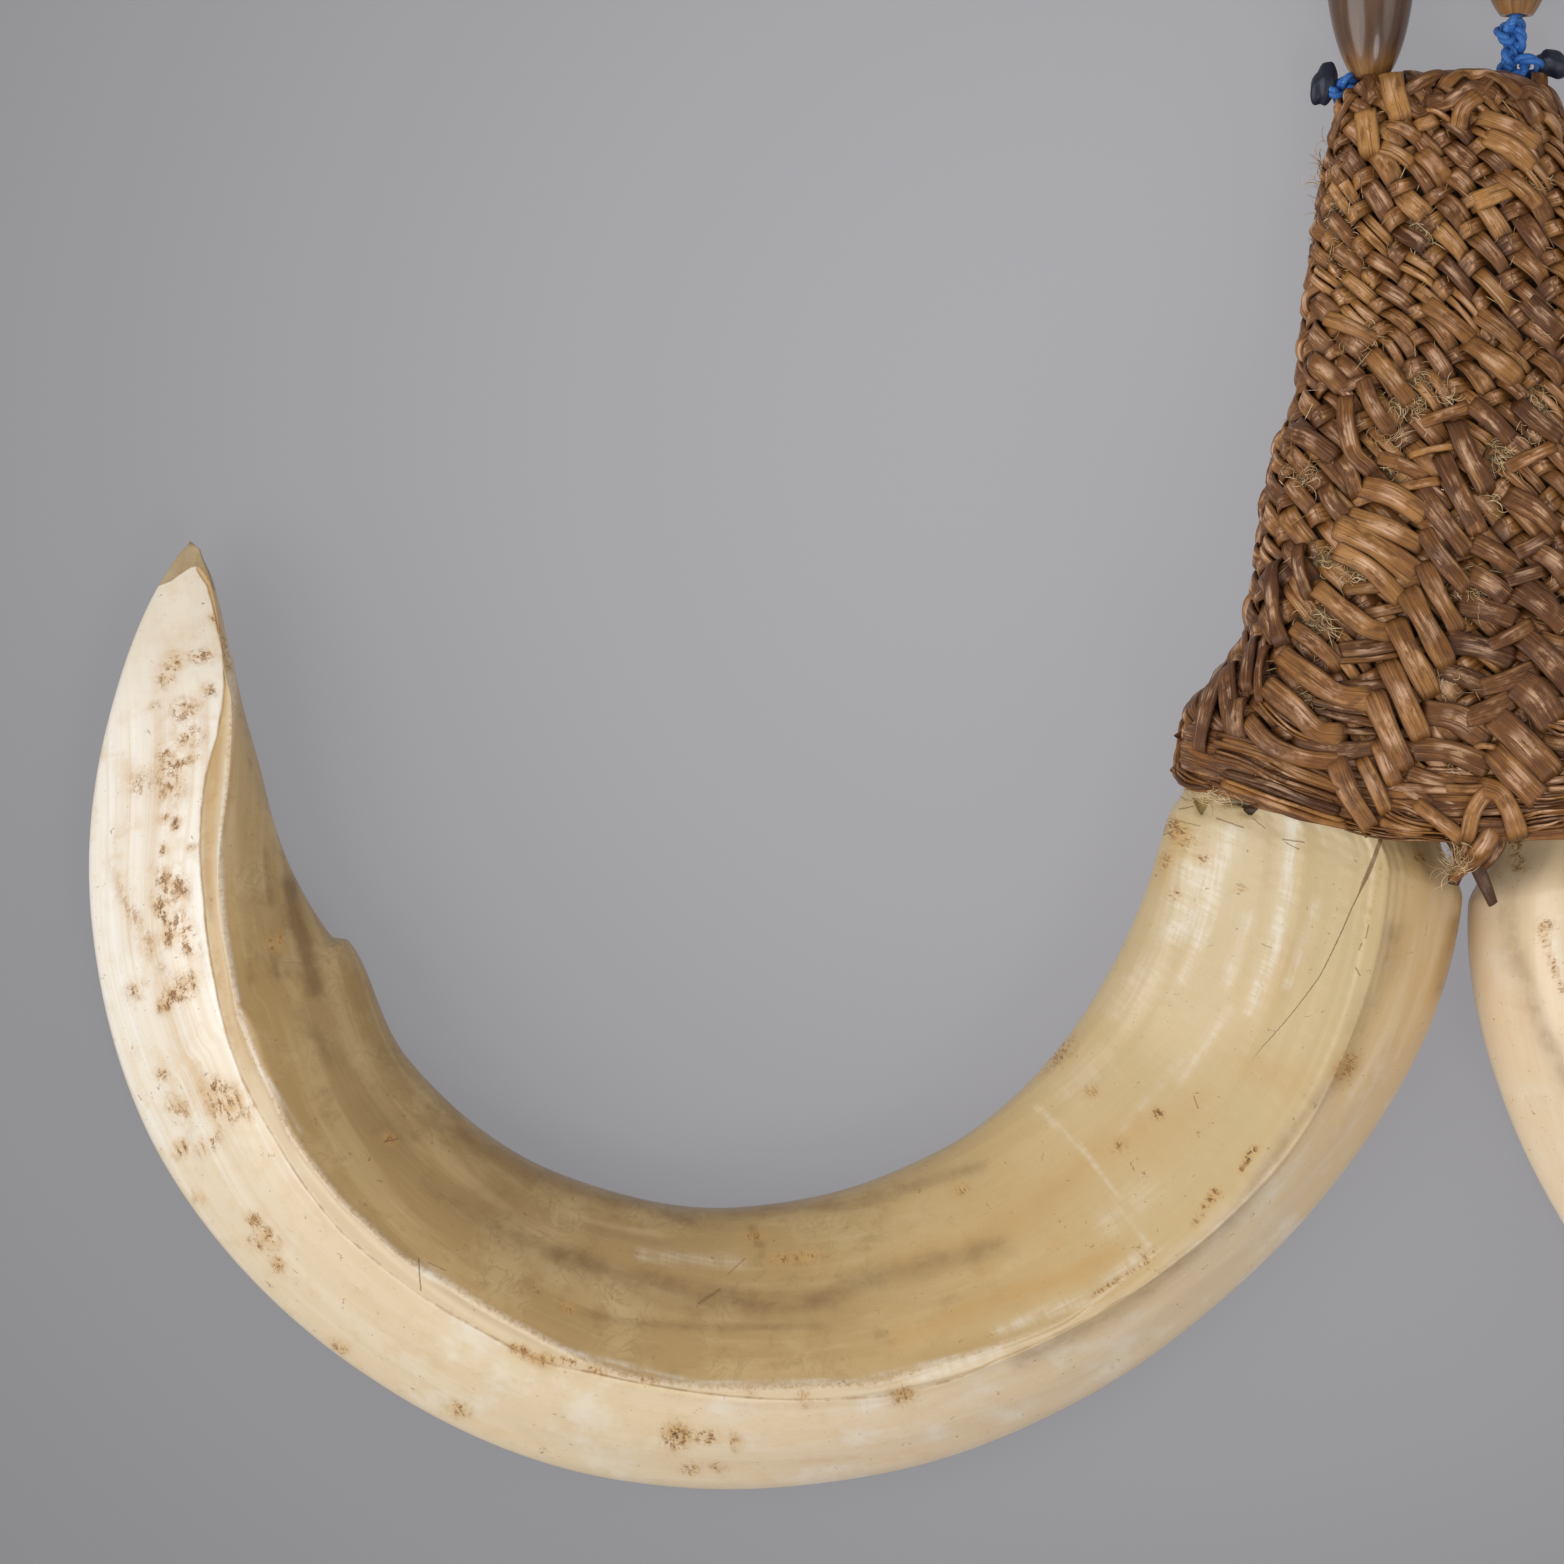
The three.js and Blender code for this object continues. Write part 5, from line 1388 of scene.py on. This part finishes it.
def caneFinish():
    finish = Finish("caneStrips", Roughness=0.4, Coat_Weight=0.13, Coat_Roughness=0.22, Specular_IOR_Level=0.4)
    along, across, tone = finish.layer("cane")
    level, edge, bow = finish.layer("level")
    fibres = finish.noise((along * 0.20, across * 2.6, tone * 20.0), 1.0, 4.0, 0.7)
    lines = finish.noise((along * 0.12, across * 4.6, tone * 9.0), 1.0, 3.0, 0.65)
    patches = finish.noise(finish.place(), 0.30, 3.0, 0.5)
    stains = finish.noise((along * 0.5, across * 1.0, tone * 31.0), 1.0, 3.0, 0.6)
    dots = finish.noise((along * 2.2, across * 5.0, tone * 5.0), 1.0, 3.0, 0.6)
    sideways, upwards, _ = finish.parts(finish.place())
    # painted shade: darker low down and at the left
    shade = upwards.between(24.0, 0.0) * 0.10 + sideways.between(-10.0, -16.0) * 0.08
    # bark brown to straw by the strip and by patch, with painted shade making it darker low down and at the left,
    # with fibres along it
    base = finish.ramp(
        tone * 0.85 + patches * 0.9 - 0.42 - shade, (0.0, (0.088, 0.026, 0.004)), (0.3, (0.185, 0.064, 0.010)),
        (0.55, (0.295, 0.118, 0.022)), (0.9, (0.48, 0.225, 0.058)))
    # sheen: a painted highlight, pale streaks along the crown of each strip's arch, away from its edges
    sheen = fibres.between(0.40, 0.60) * 0.8 + lines.between(0.45, 0.6) * 0.4
    sheen = bow.between(0.72, 0.98) * edge.between(0.85, 0.35) * sheen
    base = finish.paint(
        base,
        (fibres.between(0.50, 0.68) * 0.55, (0.60, 0.31, 0.11)),
        (lines.between(0.47, 0.33) * 0.75, (0.070, 0.021, 0.004)),
        (stains.between(0.52, 0.70) * 0.6, (0.095, 0.030, 0.007)),
        (dots.between(0.64, 0.72) * 0.6, (0.040, 0.015, 0.005)),
        # painted highlight
        ((sheen * stains.between(0.60, 0.42)).lowest(1.0) * 0.7, (0.86, 0.54, 0.34)),
        # painted shade along each strip's edges, where it meets its neighbours
        (edge.between(0.70, 1.0) * (0.35 + lines * 0.7) * 0.75, (0.055, 0.018, 0.004)),
        # painted shade on strips that lie low, dip or dive under others
        (level.between(0.8, 0.0) * 0.8, (0.055, 0.019, 0.004)))
    height = lines * 0.9 + fibres * 0.7 + dots * 0.1
    rough = 0.27 + patches * 0.25 + stains * 0.2
    return finish.out(Base_Color=base, Roughness=rough, Normal=finish.bump(height, 0.95, 0.17))


caneMaterial = caneFinish()
pileA, pileB, handPile, hemPile = Pile(), Pile(), Pile(), Pile()
plaitStrips("A", pileA, 3)
plaitStrips("B", pileB, 4)
layByHand(handPile)
layLoops(handPile)
layKnot(handPile)
layHem(hemPile, hem)
layOver(hemPile)
canePieces = [pile.piece(name) for name, pile in (
    ("leaning_strips", pileA), ("crossing_strips", pileB), ("front_strips", handPile), ("hem_strips", hemPile))]
for piece in canePieces:
    dress(piece, caneMaterial, "plaited_cover")
print("cane laid,", [len(piece.data.polygons) for piece in canePieces], "faces")


# patches of loose fibre in the gaps and at the edges: middle pixel, half sizes in pixels, how many, degrees from +x
fibrePatches = [
    (1316, 622, 20, 22, 60, -45), (1346, 573, 20, 12, 60, 15), (1472, 598, 9, 9, 36, -50),
    (1332, 208, 12, 34, 110, 70), (1258, 768, 26, 9, 60, -10), (1450, 676, 14, 7, 34, 10),
    (1340, 250, 18, 22, 60, -30), (1412, 400, 16, 14, 50, -50), (1540, 420, 12, 26, 54, -70),
    (1500, 450, 16, 12, 44, -30), (1395, 470, 12, 8, 40, 80), (1452, 772, 16, 6, 40, 5),
    (1222, 786, 16, 7, 50, 0), (1296, 700, 16, 10, 40, -40), (1360, 330, 20, 20, 46, -60),
    (1530, 180, 10, 10, 36, -20), (1545, 330, 16, 20, 46, 60), (1420, 230, 20, 20, 40, -40),
    (1392, 404, 9, 7, 40, -30), (1465, 588, 14, 8, 50, -40), (1330, 560, 22, 8, 46, 0),
    (1440, 690, 9, 14, 34, 70), (1416, 378, 12, 12, 44, -40), (1501, 457, 18, 13, 60, -50),
    (1532, 405, 12, 22, 50, -70), (1382, 441, 9, 9, 36, 60), (1482, 503, 12, 9, 44, 0),
    (1464, 575, 14, 8, 30, -40), (1440, 396, 12, 8, 30, 20), (1300, 480, 10, 12, 40, 80),
    (1456, 868, 7, 13, 60, 110), (1448, 836, 10, 6, 24, 20), (1210, 792, 24, 4, 60, 0),
    (1328, 180, 8, 30, 90, 80),
]


def makeLining():
    # the cover's inside layer: its mean surface, sunk a little, closed over the top and the hem, with pads of fibre
    rows, columns = 110, 160
    down, around = np.linspace(0, 0.995, rows), np.linspace(0, 1, columns, endpoint=False)
    around, down = (np.array(v) for v in np.broadcast_arrays(around, down[:, None]))
    flat = surface.place(around, down, 0 * around)
    across, below = photoPixel(*seenFrom(*np.moveaxis(flat, -1, 0)))
    pads = sum(np.exp(-(((across - a) / (wide * 1.1)) ** 2) - ((below - b) / (tall * 1.1)) ** 2)
               for a, b, wide, tall, *_ in fibrePatches)
    pads = np.minimum(pads, 1) * (flat[..., 2] > 3)
    points = surface.place(around, down, -0.7 + pads * (0.78 + 0.1 * wander(around * 160 + down * 90, 61, 1.0)))
    points[..., 2] = np.maximum(points[..., 2], 0.15)
    pile = Pile()
    pile.tube(points, pad=np.repeat(pads[..., None], 3, -1))
    return pile.piece("inner_lining")


def liningFinish():
    finish = Finish("liningFibres", Roughness=0.8)
    pad, _, _ = finish.layer("pad")
    tangle = finish.noise(finish.place(scale=(2600.0, 900.0, 1500.0)), 1.0, 5.0, 0.7, 2.2)
    other = finish.noise(finish.place(scale=(900.0, 2600.0, 1500.0), offset=(7.0, 3.0, 1.0)), 1.0, 5.0, 0.7, 2.2)
    dark = finish.ramp(
        tangle, (0.35, (0.030, 0.013, 0.005)), (0.6, (0.085, 0.040, 0.015)), (0.8, (0.20, 0.12, 0.05)))
    both = tangle.highest(other)
    pale = finish.ramp(
        both, (0.45, (0.08, 0.038, 0.012)), (0.58, (0.30, 0.19, 0.075)), (0.72, (0.66, 0.49, 0.25)))
    colour = finish.mix(pad.between(0.25, 0.7), dark, pale)
    return finish.out(Base_Color=colour, Normal=finish.bump(both, 0.9, 0.4))


dress(makeLining(), liningFinish(), "plaited_cover")


hairs = {"crowd": 1.35, "rows": 7, "sides": 3, "curl": 2.2, "loose": 520, "looseLength": (0.7, 2.2),
         "girth": 75, "coverLength": 69, "top": 23.4, "thick": (0.014, 0.042)}


def makeFibres(values):
    rng = np.random.default_rng(41)
    place, way, size = [], [], []
    for across, down, halfAcross, halfDown, count, degrees in fibrePatches:
        count = round(count * values["crowd"])
        spot = rng.normal(0, 0.5, (count, 2)) * (halfAcross, halfDown) + (across, down)
        place.append(underPixels(spot[:, 0], spot[:, 1])[:, :2])
        way.append(np.radians(degrees) + rng.normal(0, 0.75, count))
        size.append(rng.uniform(0.8, 2.6, count))
    place, way, size = (np.concatenate(v) for v in (place, way, size))
    count, rows, sides = len(size), values["rows"], values["sides"]
    step = np.linspace(-0.5, 0.5, rows)
    curl = rng.normal(0, values["curl"], count)
    heading = way[:, None] + curl[:, None] * step
    x = place[:, :1] + size[:, None] * np.cumsum(np.cos(heading), 1) / rows
    y = place[:, 1:] + size[:, None] * np.cumsum(np.sin(heading), 1) / rows
    lift = rng.uniform(-0.3, 0.4, (count, 1)) + 0.3 * rng.normal(0, 1, (count, 1)) * step + 0.6 * (0.25 - step**2)
    path = together(x, y, frontHeight(x, y, cover) + lift)
    # hairs that stand off the whole cover
    loose = values["loose"]
    around, down = rng.uniform(-0.1, 0.6, loose), rng.uniform(0.02, 0.93, loose)
    reach = np.linspace(0, 1, rows)
    turn = rng.uniform(0, 2 * np.pi, loose)
    length = rng.uniform(*values["looseLength"], loose)[:, None]
    bend = rng.normal(0, 0.9, loose)[:, None]
    slide = length * (reach + bend * reach**2 * 0.3)
    around = around[:, None] + slide * np.cos(turn)[:, None] / values["girth"]
    down = np.clip(down[:, None] + slide * np.sin(turn)[:, None] / values["coverLength"], 0, 0.97)
    standing = surface.place(around, down, 0.2 + length * rng.uniform(0.05, 0.4, loose)[:, None] * reach**1.3)
    standing[..., 2] = np.clip(standing[..., 2], 0.1, values["top"])
    path = np.concatenate((path, standing))
    along = unit(np.gradient(path, axis=1))
    side = unit(np.cross(along, (0.0, 0.3, 1.0)))
    upward = np.cross(side, along)
    fat = rng.uniform(*values["thick"], len(path))[:, None] * (1 - 0.6 * np.abs(np.linspace(-1, 1, rows)) ** 3)
    angle = 2 * np.pi * np.arange(sides)[:, None] / sides
    circle = np.cos(angle) * side[:, :, None] - np.sin(angle) * upward[:, :, None]
    rings = path[:, :, None] + fat[..., None, None] * circle
    tone = np.broadcast_to(rng.uniform(0, 1, len(path))[:, None, None, None], rings.shape)
    starts = (np.arange(len(path)) * rows * sides)[:, None, None]
    faces = gridFaces(rows, sides)[None] + starts
    ends = np.array([(0, 2, 1), (rows * sides - 3, rows * sides - 2, rows * sides - 1)])[None] + starts
    return makePiece("loose_fibres", rings.reshape(-1, 3), faces, ends, {"hair": tone})


def fibreFinish():
    finish = Finish("fibreHairs", Roughness=0.7)
    tone, _, _ = finish.layer("hair")
    patches = finish.noise(finish.place(), 0.8, 2.0)
    colour = finish.ramp(tone, (0.0, (0.30, 0.15, 0.05)), (0.5, (0.72, 0.49, 0.23)), (0.9, (0.96, 0.77, 0.48)))
    return finish.out(Base_Color=finish.mix(patches.between(0.4, 0.6) * 0.3, colour, (0.24, 0.12, 0.04)))


fibres = dress(makeFibres(hairs), fibreFinish(), "plaited_cover")
print("lining and fibres made,", len(fibres.data.polygons), "faces")


# floor and lights; their places are in metres
# the floor's glow is painted light, strongest within brightFor of brightFrom
floor = {"half": 3.0, "height": -0.0002, "brightFrom": (32.0, -26.0, 0.0), "brightFor": (165.0, 10.0),
         "glow": 0.326}
lights = {  # place, aim, size, power, colour
    "key": ((-0.75, -0.16, 0.66), (-0.05, 0.0, 0.0), 0.9, 6.0, (1.0, 0.985, 0.96)),
    "fill": ((0.28, -0.50, 0.85), (0.0, 0.0, 0.0), 0.35, 1.6, (0.98, 0.98, 1.0)),
    "side": ((0.62, -0.05, 0.55), (-0.03, 0.0, 0.0), 0.5, 0.8, (1.0, 0.97, 0.93)),
}
sky = {"colour": (0.96, 0.965, 1.0, 1.0), "strength": 0.42}


def makeFloor(values):
    # a pale table whose glow is painted light: its emission fills the shadows and is brightest about its middle
    half, z = values["half"], values["height"]
    mesh = bpy.data.meshes.new("floor")
    mesh.from_pydata([(-half, -half, z), (half, -half, z), (half, half, z), (-half, half, z)], [], [(0, 1, 2, 3)])
    finish = Finish("floorGrey", Roughness=0.85, Emission_Strength=values["glow"])
    soft = finish.noise(finish.place(), 0.004, 2.0)
    east, north, _ = finish.parts(finish.place(offset=values["brightFrom"]))
    away = ((east**2 + north**2) ** 0.5).between(*values["brightFor"])
    # its own colour is kept dark, so the painted glow gives most of its brightness
    grey = finish.ramp(soft, (0.3, (0.083, 0.0825, 0.085)), (0.7, (0.088, 0.0875, 0.090)))
    glow = finish.mix(away, (0.458, 0.453, 0.478), (0.955, 0.94, 0.99))
    mesh.materials.append(finish.out(Base_Color=grey, Emission_Color=glow))
    addObject("floor", mesh)


def areaLight(name, place, aim, size, power, colour):
    data = bpy.data.lights.new(name, "AREA")
    data.shape, data.size, data.energy, data.color = "DISK", size, power, colour
    light = addObject(name, data)
    light.location = place
    light.rotation_mode = "QUATERNION"
    light.rotation_quaternion = (Vector(aim) - Vector(place)).to_track_quat("-Z", "Y")


makeFloor(floor)
for name, values in lights.items():
    areaLight(name, *values)
world = bpy.data.worlds.new("studio")
world.use_nodes = True
background = world.node_tree.nodes["Background"]
background.inputs[0].default_value, background.inputs[1].default_value = sky["colour"], sky["strength"]
bpy.context.scene.world = world
bpy.context.scene.view_settings.view_transform = "Standard"
